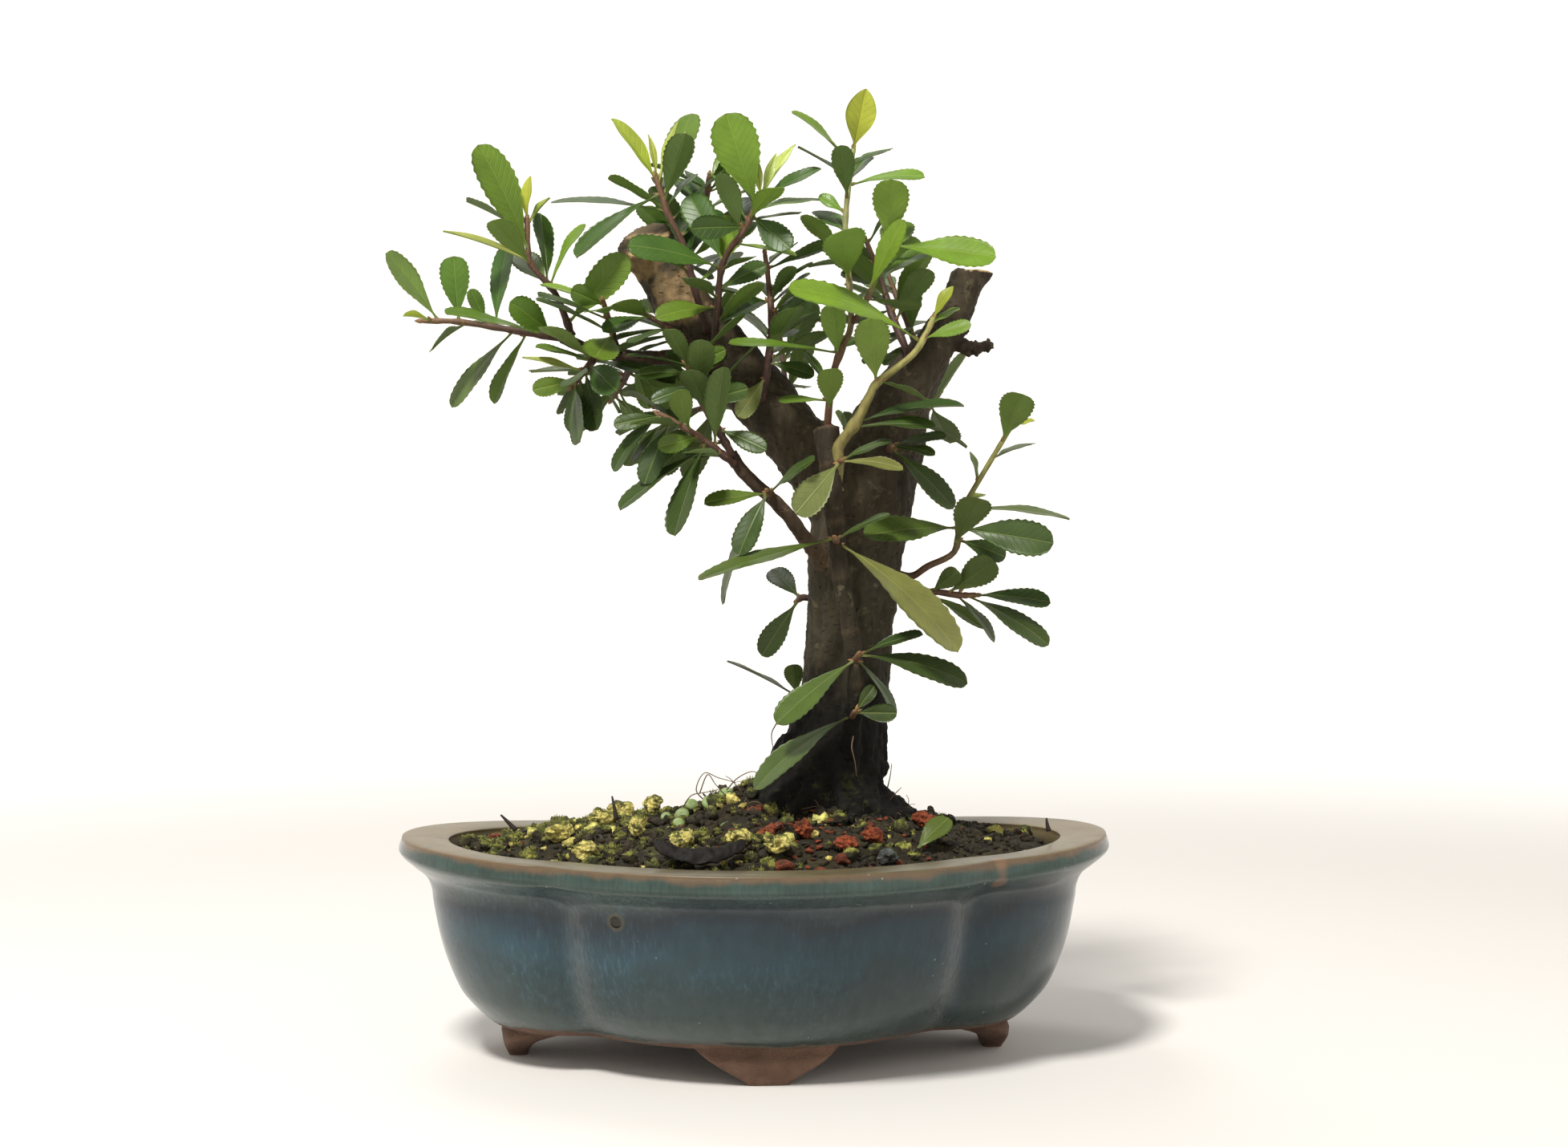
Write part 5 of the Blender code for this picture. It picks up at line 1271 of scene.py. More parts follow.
def dress_grit(ground, stones, looks):
    """Grains of soil, moss-topped lumps, lava and pumice bits, each part sunk."""
    rng = random.Random(SEED + 10)
    shapes = {1: icosphere(1), 2: icosphere(2)}
    kinds = {"soil_grains": (Heap(), srgb(46, 40, 27)), "moss_lumps": (Heap(), srgb(46, 42, 24)),
             "lava_bits": (Heap(), srgb(108, 52, 29)), "pumice_bits": (Heap(), srgb(196, 184, 104))}
    tops = []
    placed = 0
    while placed < GRAINS:
        x, y = rng.uniform(-92, 92), rng.uniform(-66, 66)
        f = ground.far(x, y)
        off = ground.trunk(x, y)
        if f > 0.965 or off < -1.0 or any(math.hypot(x - a, y - b) < 0.8 * r for a, b, r in stones):
            continue
        pick = rng.random()
        left = ease(x, 12.0, -20.0)
        front = ease(y, -8.0, -24.0) * ease(x, -12.0, 4.0) * ease(x, 62.0, 48.0)
        if pick < 0.02 + 0.17 * front:
            kind = "lava_bits"
        elif pick < 0.07 + 0.2 * front + 0.17 * left:
            kind = "moss_lumps"
        elif pick < 0.085 + 0.2 * front + 0.22 * left:
            kind = "pumice_bits"
        else:
            kind = "soil_grains"
        size = rng.uniform(0.7, 1.65) if rng.random() < 0.84 else rng.uniform(1.75, 2.7)
        size *= {"moss_lumps": 1.25, "soil_grains": 0.8}.get(kind, 1.0)
        size = min(size, 2.9, (1.0 - f) * 60.0 + 0.8)
        at = Vector((x, y, ground.height(x, y) + size * 0.3))
        flat = 0.55 if kind == "lava_bits" else 0.85
        shape, faces = pebble(rng, at, size, flat, shapes, 0.36)
        kinds[kind][0].add(shape, faces, tinted(rng, kinds[kind][1]))
        if kind == "moss_lumps":
            tops.append((at, size))
        placed += 1
    for name, (heap, _) in kinds.items():
        make(name, heap, [looks[name]], "soil")
    return tops


def spike(heap, at, way, length, radius, tint, sides=3):
    way = way.normalized()
    u = way.orthogonal().normalized()
    v = way.cross(u)
    ring = [at + (u * c + v * s) * radius for c, s in compass(sides)]
    faces = [(i, (i + 1) % sides, sides) for i in range(sides)] + [tuple(range(sides))[::-1]]
    heap.add(ring + [at + way * length], faces, tint)


def dress_moss(tops, look):
    """Short blades of moss on the lumps that carry it."""
    rng = random.Random(SEED + 11)
    heap = Heap()
    for at, size in tops:
        for _ in range(int(5 + size * 4)):
            a, lean = rng.uniform(0, math.tau), rng.uniform(0.0, 0.95)
            way = Vector((math.cos(a) * lean, math.sin(a) * lean, 1.0)).normalized()
            foot = at + Vector((way.x, way.y, way.z * 0.8)) * size * 0.8
            tint = tinted(rng, srgb(120, 132, 48) if rng.random() < 0.7 else srgb(176, 178, 84))
            spike(heap, foot, way + Vector((rng.uniform(-0.4, 0.4), rng.uniform(-0.4, 0.4), 0.2)),
                  rng.uniform(0.7, 1.4), 0.16, tint)
    make("moss_blades", heap, [look], "soil")


def strand(heap, points, radius, tint, sides=5, taper=0.5):
    pts = smoothed(points, 5)
    last = len(pts) - 1
    radii = [radius * (1 - (1 - taper) * i / last) for i in range(last + 1)]
    heap.solid(*tube(pts, radii, sides), tint)


def dress_roots(ground, look, black):
    """Hair roots about the foot of the trunk, and dead black twig ends in the soil."""
    rng = random.Random(SEED + 12)
    heap = Heap()
    hairs = (((968, 902, -12), (962, 915, -13), (964, 932, -12), (970, 946, -11)),
             ((1064, 918, -19), (1062, 932, -21), (1066, 950, -21), (1068, 968, -20)),
             ((1106, 985, -4), (1110, 968, -5), (1112, 952, -5)),
             ((1108, 1000, -6), (1116, 990, -8), (1124, 982, -8)),
             ((872, 990, -6), (882, 966, -7), (892, 978, -7), (905, 992, -8)),
             ((880, 1000, -8), (868, 985, -9), (878, 964, -8), (896, 970, -7), (918, 976, -6)),
             ((852, 1006, -9), (862, 992, -10), (880, 988, -10), (898, 984, -9)),
             ((906, 985, -8), (920, 970, -10), (938, 962, -10), (950, 968, -10)))
    for hair in hairs:
        strand(heap, [seen(*p) for p in hair], 0.2, tinted(rng, srgb(96, 80, 60)))
    for _ in range(ROOT_HAIRS):
        a = rng.uniform(0, math.tau)
        reach = rng.uniform(19.0, 27.0)
        x = ground.middle.x + reach * math.cos(a)
        y = ground.middle.y + reach * math.sin(a)
        p = Vector((x, y, ground.height(x, y) - 0.3))
        points = [p]
        way = Vector((rng.uniform(-1, 1), rng.uniform(-1, 1), rng.uniform(0.3, 1.4)))
        for _ in range(4):
            p = p + way.normalized() * rng.uniform(1.2, 2.4)
            way += Vector((rng.uniform(-0.8, 0.8), rng.uniform(-0.8, 0.8), rng.uniform(-1.0, 0.1)))
            points.append(p)
        strand(heap, points, rng.uniform(0.1, 0.17), tinted(rng, srgb(84, 68, 50)))
    make("hair_roots", heap, [look], "bark")
    heap = Heap()
    stubs = (((768, 1022, -16), (766, 1008, -16), (763, 993, -15)),
             ((643, 1035, -12), (632, 1024, -12), (624, 1016, -12)),
             ((1308, 1036, -6), (1306, 1028, -6), (1305, 1020, -6)))
    for stub in stubs:
        strand(heap, [seen(*p) for p in stub], 0.75, srgb(24, 20, 16), 7, 0.35)
    for _ in range(TWIG_ENDS):
        x, y = rng.uniform(-84, 84), rng.uniform(-58, 58)
        if ground.far(x, y) > 0.93 or ground.trunk(x, y) < 1.0:
            continue
        a, reach = rng.uniform(0, math.tau), rng.uniform(1.6, 4.2)
        low = ground.height(x, y) + 0.8
        ends = [Vector((x, y, low))]
        for j in (1, 2):
            ends.append(ends[0] + Vector((math.cos(a), math.sin(a), rng.uniform(-0.05, 0.3)))
                        * reach * j / 2)
        strand(heap, ends, rng.uniform(0.3, 0.6), tinted(rng, srgb(48, 36, 26)), 6, 0.7)
    make("dead_twigs", heap, [black], "bark_chip")


def dress_beads(look):
    """Round pale leaves of seedlings beside the trunk."""
    rng = random.Random(SEED + 13)
    heap = Heap()
    verts, faces = icosphere(3)
    beads = ((850, 1016, -12, 2.1), (886, 1001, -9, 2.7), (862, 1003, -6, 2.0),
             (905, 990, -7, 2.1), (904, 1031, -20, 1.9), (846, 1026, -18, 1.6),
             (948, 1035, -22, 1.9), (830, 1018, -8, 1.5))
    for across, down, depth, size in beads:
        mid = seen(across, down, depth)
        lean = Euler((rng.uniform(0.6, 1.2), rng.uniform(-0.5, 0.5), rng.uniform(-0.6, 0.6)))
        turn = lean.to_matrix()
        shape = []
        for v in verts:
            dent = 1.0 - 0.35 * math.exp(-(v.x ** 2 + v.y ** 2) * 6.0)
            shape.append(mid + turn @ Vector((v.x, v.y * 0.88, v.z * 0.42 * dent)) * size)
        heap.add(shape, faces, tinted(rng, srgb(132, 164, 92), 0.15))
    make("seedling_leaves", heap, [look], "leaf_bright")


# Stones and bark chip

def refine(node, levels=3, swell=1.05):
    """A CAD node's surface, subdivided and rounded: points in millimetres, and faces."""
    obj = linked("refine", frame["nodes"][node].data.copy())
    obj.modifiers.new("weld", "WELD").merge_threshold = 1e-6
    obj.modifiers.new("fine", "SUBSURF").levels = levels
    settle(obj)
    verts = [v.co / MM for v in obj.data.vertices]
    faces = [tuple(p.vertices) for p in obj.data.polygons]
    bpy.data.objects.remove(obj)
    mid = sum(verts, Vector()) / len(verts)
    return [mid + (v - mid) * swell for v in verts], faces, mid


def dress_stones(looks):
    stones = []
    sorts = [("pumice_%d" % i, "pumice", srgb(206, 194, 112)) for i in range(1, 10)]
    sorts += [("lava_%d" % i, "lava", srgb(130, 62, 34)) for i in range(1, 7)]
    sorts.append(("grey_stone", "grey_stone", srgb(70, 74, 72)))
    for i, (node, slot, tint) in enumerate(sorts):
        verts, faces, mid = refine(node, swell=1.1)
        shape = []
        for v in verts:
            way = (v - mid).normalized()
            shape.append(v + way * (1.1 * lump(v + Vector((i * 9.0, 0, 0)), 3.6)
                                    - 0.5 * abs(lump(v, 1.5, 2))))
        heap = Heap()
        heap.add(shape, faces, tint)
        low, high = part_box(node)
        stones.append((mid.x, mid.y, (high.x - low.x) / (2 * MM)))
        make(node.replace("pumice", "pumice_stone").replace("lava", "lava_stone") + "_fine",
             heap, [looks[slot]], slot, node)
    verts, faces, mid = refine("bark_chip", swell=1.0)
    shape = []
    for v in verts:
        ends = ((v.x - mid.x) / 12.0) ** 2
        tall = 0.5 * (v.z - mid.z) + 3.4 * ends - 0.5 * (abs(v.x - mid.x) < 7.0)
        shape.append(v + Vector((0, 0.25 * lump(v, 3.0), tall + 0.35 * lump(v, 2.2))))
    heap = Heap()
    heap.add(shape, faces, srgb(34, 26, 22))
    make("curled_bark", heap, [looks["chip"]], "bark_chip", "bark_chip")
    return stones


# Trunk

def smooth_tube(points, radii, sides, per=4):
    return tube(smoothed(points, per), list(np.maximum(spline(radii, per), 0.3)), sides)


RIDGE_X = 19.6      # middle of the root ridges; each ridge: distance out, height, radius
RIDGE = ((10.6, 88.0, 2.2), (14.8, 80.0, 2.4), (18.4, 74.0, 2.3), (22.0, 69.5, 1.8),
         (25.0, 64.0, 1.1))
STUB_END, TRUNK_END = turned(*SIDE_STUB[-1][:3]), turned(*TRUNK[-1][:3])


def root_ridges():
    """Surface roots that run out from the trunk's flare and dive into the soil."""
    rng = random.Random(SEED + 14)
    out = []
    for a in (0.35, 1.3, 2.2, 3.05, 3.5, 4.25, 5.0, 5.7):
        a += rng.uniform(-0.15, 0.15)
        points, radii = [], []
        near = 1.0 - 0.3 * ease(math.cos(a), 0.3, 0.8)
        for reach, z, r in RIDGE:
            bend = a + 0.1 * math.sin(reach * 0.3 + a * 5)
            points.append(turned(RIDGE_X + near * reach * math.cos(bend),
                                 reach * 0.88 * math.sin(bend), z))
            radii.append(r)
        out.append((points, radii))
    return out


def slanted_limb():
    """The left limb with its sawn end sloping towards the front."""
    points, radii, _ = wood_tubes()[0]
    sides = 28
    verts, faces = smooth_tube(points, radii, sides)
    way = (points[-1] - points[-2]).normalized()
    count = len(verts) // sides
    out = []
    for i, v in enumerate(verts):
        k = ease(i // sides, count - 6, count - 1)
        out.append(v + way * k * (SAW_SLOPE * (v.y - points[-1].y) - SAW_DROP))
    return out, faces, points[-1] - way * SAW_DROP, (way - Vector((0, SAW_SLOPE, 0))).normalized()


def arrays(mesh):
    """Places in millimetres and normals of a mesh's vertices."""
    out = []
    for name in ("co", "normal"):
        flat = np.empty(len(mesh.vertices) * 3)
        mesh.vertices.foreach_get(name, flat)
        out.append(flat.reshape(-1, 3))
    return out[0] / MM, out[1]


def bark_tint(p):
    """Olive grey-brown low down and on the left, dark brown up the limbs, and darker on the right
    beside the sucker as painted shade.
    """
    high = ease(p.z + 5.0 * lump(p, 9.0, 2), 116.0, 158.0)
    low, top = srgb(57, 52, 37), srgb(60, 52, 37)
    # Painted shade: the trunk's right front, beside the sucker, is darkened by up to a fifth.
    shade = 1.0 - 0.2 * ease(p.x - 0.08 * (p.z - 100.0), 22.0, 30.0) * ease(p.y, 6.0, -2.0)
    colour = [c * shade for c in blend(low, top, high)]
    for spot, reach, patch in ((seen(848, 368, -4), 9.5, srgb(134, 112, 80)),
                               (seen(800, 318, -2), 8.0, srgb(146, 120, 84)),
                               (seen(806, 283, 2), 4.4, srgb(62, 46, 32)),
                               (seen(776, 304, 0), 3.8, srgb(60, 50, 38)),
                               (STUB_END, 13.0, srgb(46, 36, 28)),
                               (TRUNK_END, 4.5, srgb(44, 34, 28))):
        near = ease((p - spot).length + 1.6 * lump(p, 4.0), reach, 0.6 * reach)
        colour = blend(colour, patch, near)
    return colour


def dress_trunk(look):
    rings = np.array([[tuple(p) for p in ring] for ring in trunk_rings()])
    rings = np.swapaxes(spline(np.swapaxes(rings, 0, 1), 5, closed=True), 0, 1)
    rings = spline(rings, 6)
    for p in rings.reshape(-1, 3):
        out, z = p[0] - FLARE_X, p[2]
        p[0] -= 0.18 * out * ease(out, 6.0, 18.0) * ease(z, 81.0, 73.0) * ease(z, 66.0, 71.0)
    limb, sides, end, slope = slanted_limb()
    points, radii, _ = wood_tubes()[1]
    shapes = [loft([[Vector(p) for p in ring] for ring in rings]), (limb, sides),
              smooth_tube(points, radii, 16)]
    shapes += [smooth_tube(points, radii, 12) for points, radii in root_ridges()]
    heap = Heap()
    for verts, faces in shapes:
        heap.solid(verts, faces)
    obj = linked("trunk_and_limbs", surface("trunk_raw", heap.verts, heap.faces))
    mod = obj.modifiers.new("skin", "REMESH")
    mod.mode = "VOXEL"
    mod.voxel_size = SKIN * MM
    soft = obj.modifiers.new("soft", "SMOOTH")
    soft.factor = 0.5
    soft.iterations = 4
    settle(obj)
    mesh = obj.data
    uphill = (Vector((0, 0, 1)) - slope * slope.z).normalized()
    tops = ((end, slope, 9.5), (TRUNK_END, Vector((0.42, 0, 0.91)), 7.0))
    cut, moved, tints = [], [], []
    for p, n in zip(*arrays(mesh)):
        p, n = Vector(p), Vector(n)
        low = ease(p.z, 98.0, 74.0)
        ridge = 0.42 * lump((p.x, p.y, p.z * 0.22), 3.6) + 0.2 * lump(p, 1.6, 2)
        knobs = 0.55 * max(0.0, lump(p, 8.0, 2))
        coarse = 0.9 * lump((p.x, p.y, p.z * 0.6), 4.2) - 0.5 * abs(lump(p, 1.9, 2))
        stub = 0.9 * lump(p, 1.5, 2) * ease((p - STUB_END).length, 12.0, 7.0)
        move = (ridge + knobs + stub) * (1 - low) + coarse * low
        face = 0.0
        for spot, way, reach in tops:
            d = p - spot
            if d.length < reach and n.dot(way) > 0.55 * way.length and d.dot(way) > -1.3:
                rough = 0.8 * lump(p, 2.0)
                face = 1.0 - 0.85 * max(ease(d.dot(uphill) + rough, 0.6, 3.2),
                                        ease(rough - d.x, 3.6, 5.6) * (spot is end))
                move = 0.12 * lump(p, 1.2, 2)
        cut.append(face)
        tints.append((*bark_tint(p), 1.0))
        moved.append(tuple(p + n * move))
    mesh.vertices.foreach_set("co", np.ravel(moved) * MM)
    attribute(mesh, "cut", cut)
    attribute(mesh, "tint", tints, "FLOAT_COLOR", "color")
    mesh.materials.clear()
    mesh.materials.append(look)
    finish_piece(obj, ["trunk"])


def dress_stems(look):
    """The sucker in front of the trunk, sawn off at its top, and the two boughs."""
    heap = Heap()
    cut = []
    sides = 22
    kinds = ((SUCKER, 1.12, srgb(42, 37, 23), srgb(44, 36, 24)),
             (BOUGHS[0], 0.9, srgb(70, 56, 44), srgb(58, 42, 34)),
             (BOUGHS[1], 0.9, srgb(84, 70, 52), srgb(58, 42, 34)))
    for stem, thin, low, high in kinds:
        forward = 2.5 if stem is SUCKER else 0.0
        points = smoothed([seen(a, d, e - forward) for a, d, e, _ in stem], 12)
        radii = spline([row[3] * thin for row in stem], 12)
        run, sizes = 0.0, []
        for i, p in enumerate(points):
            run += (p - points[i - 1]).length if i else 0.0
            scar = 0.09 * math.exp(-((run % 15.0 - 7.0) / 0.8) ** 2)
            sizes.append(radii[i] * (1 + scar + 0.55 * math.exp(-run / 2.6)))
        verts, faces = tube(points, sizes, sides)
        count = len(points)
        shape, tints = [], []
        for i, v in enumerate(verts):
            mid = points[i // sides]
            grow = 1 + 0.07 * lump(v, 3.0) + 0.05 * lump((v.x, v.y, v.z * 0.3), 1.4, 2)
            shape.append(mid + (v - mid) * grow)
            f = i // sides / (count - 1)
            scar = max(0.0, (sizes[i // sides] / radii[i // sides] - 1.0) * 5.0) * ease(f, 0.1, 0.2)
            tints.append(blend(blend(low, high, f), srgb(128, 106, 76), min(scar, 1.0) * 0.3))
        last = len(shape) - sides
        middle = sum(shape[last:], Vector()) / sides
        shape.append(middle)
        faces = faces[:-1] + [(last + i, last + (i + 1) % sides, len(shape) - 1)
                              for i in range(sides)]
        heap.solid(shape, faces, tints + [tints[-1]])
        cut += [0.0] * last + [0.1 * (stem is SUCKER)] * sides + [0.5 * (stem is SUCKER)]
    obj = make("sucker_and_boughs", heap, [look], "bark", "trunk")
    attribute(obj.data, "cut", cut)


# Shoots

ACROSS = (-1.0, -0.8, -0.5, -0.13, 0.0, 0.13, 0.5, 0.8, 1.0)
BLADE_ROWS = 24
BLADE_FORMS = {"k": (0.7, 3.0, 0.5), "y": (0.58, 1.8, 0.75), "p": (0.5, 1.5, 0.9)}


def blade_rows(leaf):
    """Each cross line of a fine blade: how far along, half width, and place on the blade."""
    half, stalk = leaf["width"] / 2, leaf["stalk"] * 0.62
    rows = [(0.0, 0.42, -1.0), (stalk * 0.4, 0.38, -1.0), (stalk * 0.8, 0.4, -1.0)]
    widest, blunt, full = BLADE_FORMS.get(leaf["kind"], (0.67, 2.5, 0.5))
    for i in range(BLADE_ROWS + 1):
        f = 1.0 - (1.0 - i / BLADE_ROWS) ** 1.2
        if f < widest:
            wide = half * math.sin(math.pi / 2 * f / widest) ** 1.3
        else:
            wide = half * (1 - ((f - widest) / (1 - widest)) ** blunt) ** full
        if f > 0.3 and leaf["kind"] not in "yp":
            wide *= 1.0 + 0.045 * (-1) ** i
        rows.append((stalk + (1 - stalk) * f, max(wide, 0.42 * (1 - f), 0.05), f))
    return rows


def blade(heap, leaf, tint, rng):
    base, u, n, s = leaf["base"], leaf["u"], leaf["n"], leaf["s"]
    length, stalk, kind = leaf["length"], leaf["stalk"], leaf["kind"]
    young = kind in "yp"
    fold = rng.uniform(0.25, 0.5) if young else rng.uniform(0.04, 0.2)
    hook = rng.uniform(-0.012, 0.035)
    phase, twist = rng.uniform(0, math.tau), 0.22 * math.sin(9.0 * base.x + 5.0 * base.z)
    ripple = rng.uniform(0.1, 0.32)
    notch = 0.055 if kind == "k" else rng.choice((0.0, 0.0, 0.02)) * (not young)
    top, under, data = [], [], []
    for t, half, f in blade_rows(leaf):
        run = length * t
        mid = base + u * run + n * (leaf["camber"] * length * t * (1 - t) * 4)
        turn = twist * (t - 0.4)
        if f > 0:
            mid = mid - n * (hook * length * f ** 3)
        cs, sn = math.cos(turn), math.sin(turn)
        side, up = s * cs + n * sn, n * cs - s * sn
        for a in ACROSS:
            off = a * half
            lift = fold * abs(off)
            if f > 0:
                lift += ripple * a * a * math.sin(f * 9.0 + phase + a) * math.sin(math.pi * f)
            back = length * notch * (1 - abs(a)) ** 1.4 * ease(f, 0.8, 1.0)
            p = mid + side * off + up * lift - u * back
            thick = 0.17 * (1 - 0.6 * abs(a) ** 3) if f >= 0 else 0.36 * (1 - 0.5 * a * a)
            groove = 0.09 if a == 0 and f >= 0 else 0.0
            top.append(p + up * (thick - groove))
            under.append(p - up * (thick + groove * 2.2))
            data.append(((t - stalk * 0.62) * length, off))
    wide, rows = len(ACROSS), len(top) // len(ACROSS)
    count = len(top)
    faces = []
    for i in range(rows - 1):
        for j in range(wide - 1):
            a = i * wide + j
            faces.append((a, a + 1, a + wide + 1, a + wide))
            faces.append((a + count, a + wide + count, a + wide + 1 + count, a + 1 + count))
    rim = [i * wide for i in range(rows)] + list(range((rows - 1) * wide + 1, rows * wide))
    rim += [i * wide + wide - 1 for i in range(rows - 2, -1, -1)] + list(range(wide - 2, 0, -1))
    for a, b in zip(rim, rim[1:] + rim[:1]):
        faces.append((b, a, a + count, b + count))
    along = [(x, y, 1.0) for x, y in data] + [(x, y, 0.0) for x, y in data]
    heap.solid(top + under, faces, tint, 1, along)


def spindle(heap, at, way, length, radius, tint, sides=7):
    """A bud: a small pointed swelling."""
    way = way.normalized()
    points = [at + way * length * f for f in (0.0, 0.2, 0.45, 0.75, 1.0)]
    radii = [radius * f for f in (0.7, 1.0, 0.95, 0.55, 0.08)]
    heap.solid(*tube(points, radii, sides), tint)


def twig(heap, points, radii, low, high, leaves, rooted):
    pts = smoothed(points, 5)
    radii = list(spline([r * 0.82 for r in radii], 5))
    first = (pts[1] - pts[0]).normalized()
    if rooted:
        pts = [pts[0] - first * 1.3, pts[0] - first * 0.5] + pts
        radii = [radii[0] * 1.35, radii[0] * 1.15] + radii
    last = (pts[-1] - pts[-2]).normalized()
    pts += [pts[-1] + last * 0.5, pts[-1] + last * 1.1]
    radii += [radii[-1] * 0.85, radii[-1] * 0.25]
    swollen = []
    for i, (p, r) in enumerate(zip(pts, radii)):
        near = min([(p - leaf["base"]).length for leaf in leaves], default=9.0)
        swollen.append(r * (1 + 0.28 * math.exp(-near * near / 0.8)) * (1 + 0.05 * lump(p, 2.5)))
    sides = 10
    tints = []
    for i in range(len(pts)):
        f = ease(i / (len(pts) - 1), 0.25, 1.0)
        tints += [blend(low, high, f)] * sides
    heap.solid(*tube(pts, swollen, sides), tints)


LEAF_TINTS = {"d": srgb(58, 88, 31), "m": srgb(94, 124, 38), "b": srgb(115, 146, 42),
              "k": srgb(82, 116, 37), "y": srgb(160, 170, 60), "o": srgb(118, 124, 68),
              "p": srgb(174, 184, 98)}
TWIG_TINTS = {"shoot_olive": (srgb(112, 104, 56), srgb(140, 136, 74)),
              "shoot_top": (srgb(88, 58, 38), srgb(140, 146, 92)),
              "shoot_right": (srgb(78, 56, 38), srgb(124, 124, 62)),
              "shoot_far_left": (srgb(68, 44, 34), srgb(106, 80, 52))}


def leaf_tint(leaf, rng):
    """Colour of one blade: brighter high up, duller low down."""
    tip = leaf["base"] + leaf["u"] * leaf["length"]
    colour = LEAF_TINTS[leaf["kind"]]
    if leaf["kind"] in "dmbk":
        # Painted light and shade by height: blades high in the crown are lightened, and low ones
        # are darkened and turned a duller olive.
        high = ease(tip.z, 120.0, 255.0)
        colour = blend(colour, srgb(76, 88, 44), 0.5 * (1 - high))
        colour = tuple(c * (0.86 + 0.3 * high) for c in colour)
    warm = rng.uniform(-0.08, 0.08)
    bright = rng.uniform(0.78, 1.18)
    return (colour[0] * bright * (1 + warm), colour[1] * bright, colour[2] * bright * (1 - warm))


def dress_shoots(twig_mat, leaf_mat):
    rng = random.Random(SEED + 15)
    for shoot in tree_layout():
        heap = Heap()
        name = shoot["name"]
        low, high = TWIG_TINTS.get(name, (srgb(64, 42, 34), srgb(98, 70, 48)))
        for i, (points, radii) in enumerate(shoot["tubes"]):
            if name == "shoot_olive" and i == 0:
                points = [seen(1041, 604, -21.5), seen(1045, 576, -23.5)] + points[1:]
                radii = [2.5, 2.2] + [r * (1.55 - 0.1 * j) for j, r in enumerate(radii[1:])]
            twig(heap, points, radii, low, high, shoot["leaves"], i == 0)
            end = points[-1]
            way = (points[-1] - points[-2]).normalized()
            spindle(heap, end + way * 0.3, way, rng.uniform(1.6, 2.4), 0.7, srgb(120, 90, 60))
        for leaf in shoot["leaves"]:
            blade(heap, leaf, leaf_tint(leaf, rng), rng)
            bud = leaf["u"] + Vector((rng.uniform(-0.5, 0.5), rng.uniform(-0.5, 0.5), 0.7))
            spindle(heap, leaf["base"] + leaf["u"] * 0.7, bud, rng.uniform(1.2, 1.9), 0.5,
                    tinted(rng, srgb(118, 88, 56)), 6)
        make(name + "_fine", heap, [twig_mat, leaf_mat], SLOTS[name], name)
    leaf = make_leaf(Vector((40.0, -36.0, 0.0)), Vector((0.7, 0.4, 0.58)),
                     Vector((-0.4, -0.9, 0.7)), 14.5, 6.8, rng, "b")
    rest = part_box("loose_leaf")[0].z / MM
    leaf["base"].z = rest - min(v.z for v in leaf_mesh(leaf)[0])
    heap = Heap()
    blade(heap, leaf, srgb(86, 102, 40), rng)
    make("fallen_leaf", heap, [twig_mat, leaf_mat], "leaf_bright", "loose_leaf")


# Studio

def stage_floor():
    """A pale round stage: floor, curve and wall in one sheet."""
    line = [(0.001, 0.0), (0.6, 0.0), (1.3, 0.0)]
    for i in range(1, 13):
        a = math.pi / 2 * i / 12
        line.append((1.3 + 0.6 * math.sin(a), 0.6 - 0.6 * math.cos(a)))
    line.append((1.9, 2.0))
    sides = 96
    verts = [(r * c, r * s, z) for r, z in line for c, s in compass(sides)]
    faces = []
    for i in range(len(line) - 1):
        for j in range(sides):
            k = (j + 1) % sides
            faces.append((i * sides + j, (i + 1) * sides + j, (i + 1) * sides + k, i * sides + k))
    mesh = bpy.data.meshes.new("stage")
    mesh.from_pydata(verts, [], faces)
    mesh.shade_smooth()
    k = Look("stage", 0.9, 0.2)
    flat = k.node("VectorMath", {0: k.place, 1: (1.0, 1.0, 0.0)}, operation="MULTIPLY").outputs[0]
    out = k.band(k.node("VectorMath", {0: flat}, operation="LENGTH").outputs["Value"], 0.4, 1.1)
    pale = k.mix(out, (0.65, 0.635, 0.62), (0.45, 0.44, 0.425))
    k.feed(k.bsdf.inputs["Emission Color"], (1.0, 0.97, 0.92))
    behind = k.band(k.axes(k.place)[1], -0.6, 0.6)
    glow = k.scaled(behind, 0.21, 0.45)
    k.feed(k.bsdf.inputs["Emission Strength"], k.times(out, glow))
    mesh.materials.append(k.done(pale))
    linked("stage", mesh)


def lamp(name, place, size, power, colour):
    data = bpy.data.lights.new(name, "AREA")
    data.shape = "DISK"
    data.size, data.energy, data.color = size, power, colour
    obj = linked(name, data)
    obj.location = place
    obj.rotation_euler = (Vector(place) - Vector((0, 0, 0.11))).to_track_quat("Z", "Y").to_euler()


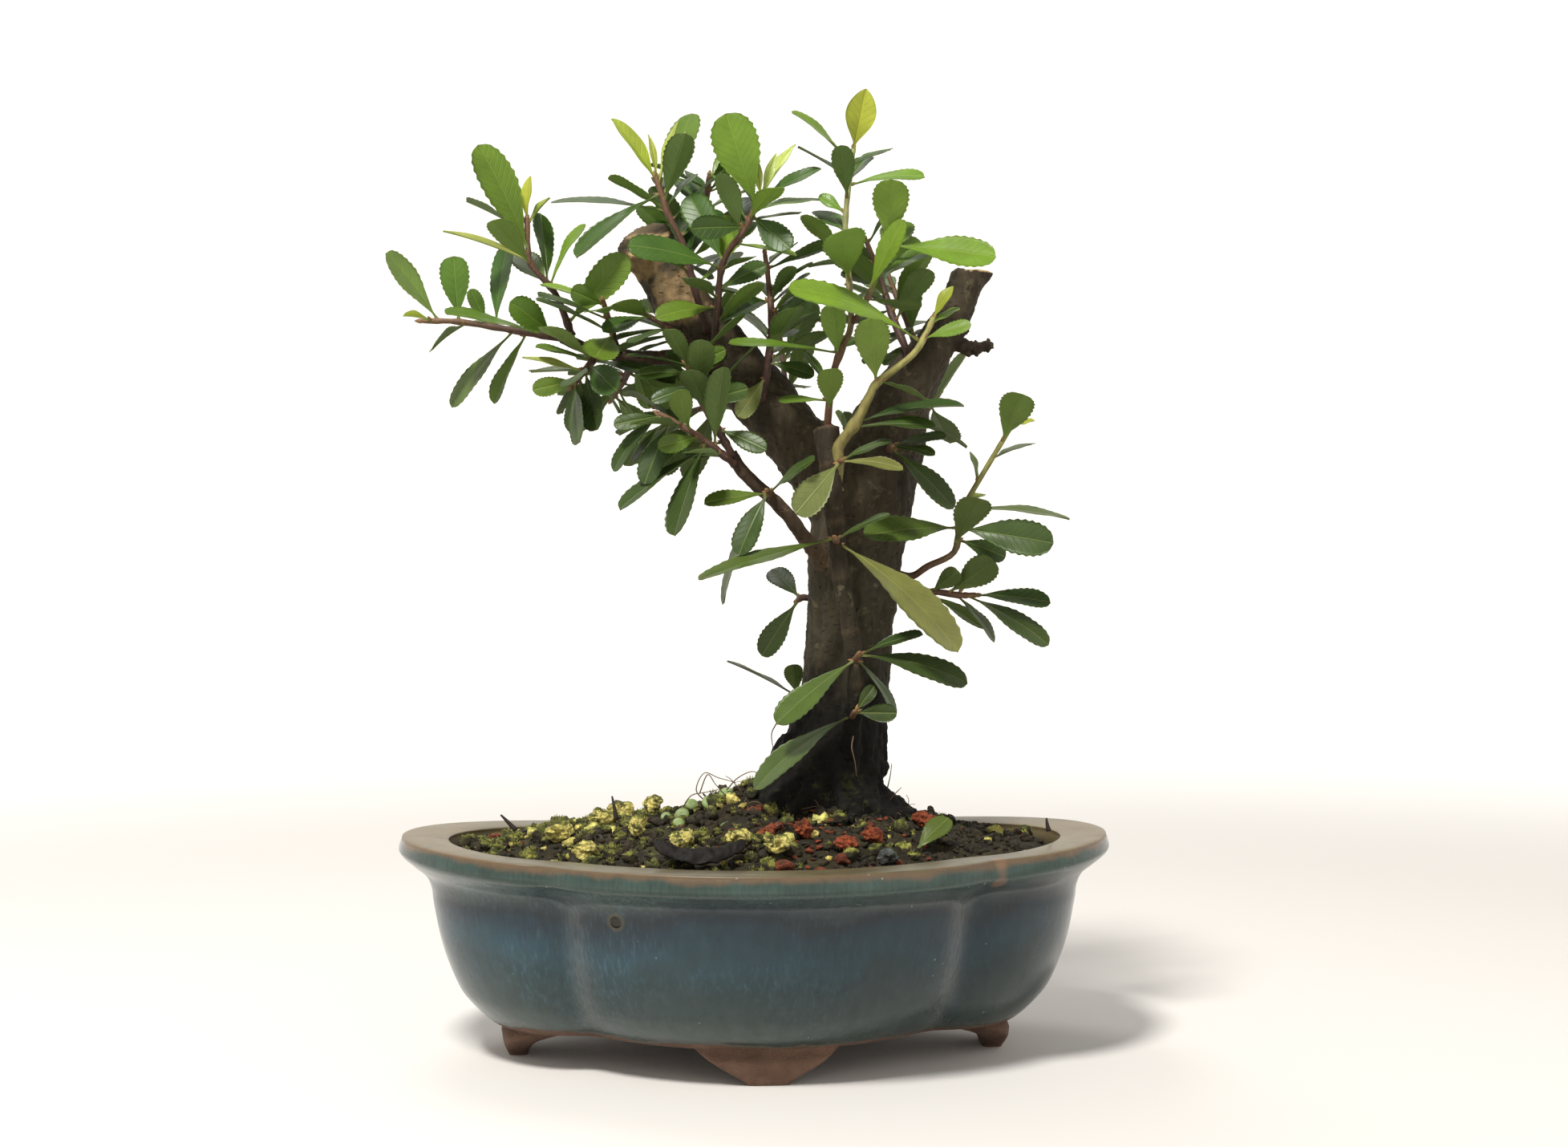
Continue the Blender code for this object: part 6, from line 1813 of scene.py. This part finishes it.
def studio():
    stage_floor()
    lamp("key", (-0.4, -0.72, 1.25), 0.26, 26.0, (1.0, 0.97, 0.92))
    lamp("fill", (0.9, -0.9, 0.5), 1.0, 0.6, (1.0, 0.95, 0.9))
    lamp("back", (-0.3, 0.6, 1.2), 0.5, 4.0, (1.0, 0.97, 0.93))
    world = bpy.data.worlds.new("room")
    world.use_nodes = True
    sky = world.node_tree.nodes["Background"]
    sky.inputs["Color"].default_value = (1.0, 0.97, 0.93, 1.0)
    sky.inputs["Strength"].default_value = 0.22
    bpy.context.scene.world = world
    bpy.context.scene.view_settings.view_transform = "Standard"
    eye = bpy.data.cameras.new("eye")
    eye.lens, eye.sensor_width = 50.3, 36.0
    eye.shift_y = -5 / 1955
    obj = linked("eye", eye)
    obj.location = turned(EYE_X, -EYE_BACK, EYE_Z) * MM
    obj.rotation_euler = (math.pi / 2, 0.0, TREE_TURN)
    bpy.context.scene.camera = obj


def main():
    twig_mat, leaf_mat = twig_look(), leaf_look()
    moss = grain_look("mossy_lump", moss=0.75)
    looks = {"soil_grains": grain_look("soil_grain"), "moss_lumps": moss,
             "lava_bits": grain_look("lava_bit", 0.85),
             "pumice_bits": grain_look("pumice_bit", moss=0.3),
             "pumice": grain_look("mossy_pumice", moss=0.6, crumb=0.7),
             "lava": grain_look("lava_stone", 0.85, crumb=0.7),
             "grey_stone": grain_look("grey_stone"),
             "chip": plain_look("wet_bark", srgb(18, 14, 11), 0.65, 300.0, 0.5, 1.6, 0.4, 0.2)}
    ground = Ground()
    dress_pot(glaze_look())
    dress_soil(ground, soil_look())
    stones = dress_stones(looks)
    tops = dress_grit(ground, stones, looks)
    dress_moss(tops, plain_look("moss_blade", srgb(112, 114, 50), 0.8, 900.0, 0.6, 1.3))
    dress_roots(ground, plain_look("hair_root", srgb(96, 78, 58), 0.7),
                plain_look("dead_twig", srgb(34, 27, 21), 0.75, 600.0, 0.6, 1.5))
    dress_beads(plain_look("seedling_leaf", srgb(122, 142, 84), 0.5, 260.0, 0.7, 1.25))
    bark = bark_look()
    dress_trunk(bark)
    dress_stems(bark)
    dress_shoots(twig_mat, leaf_mat)
    netting = plain_look("netting", (0.02, 0.02, 0.02), 0.55, 1500.0)
    for node in ("screen_left", "screen_right"):
        for slot in frame["nodes"][node].material_slots:
            slot.material = netting
    studio()


main()
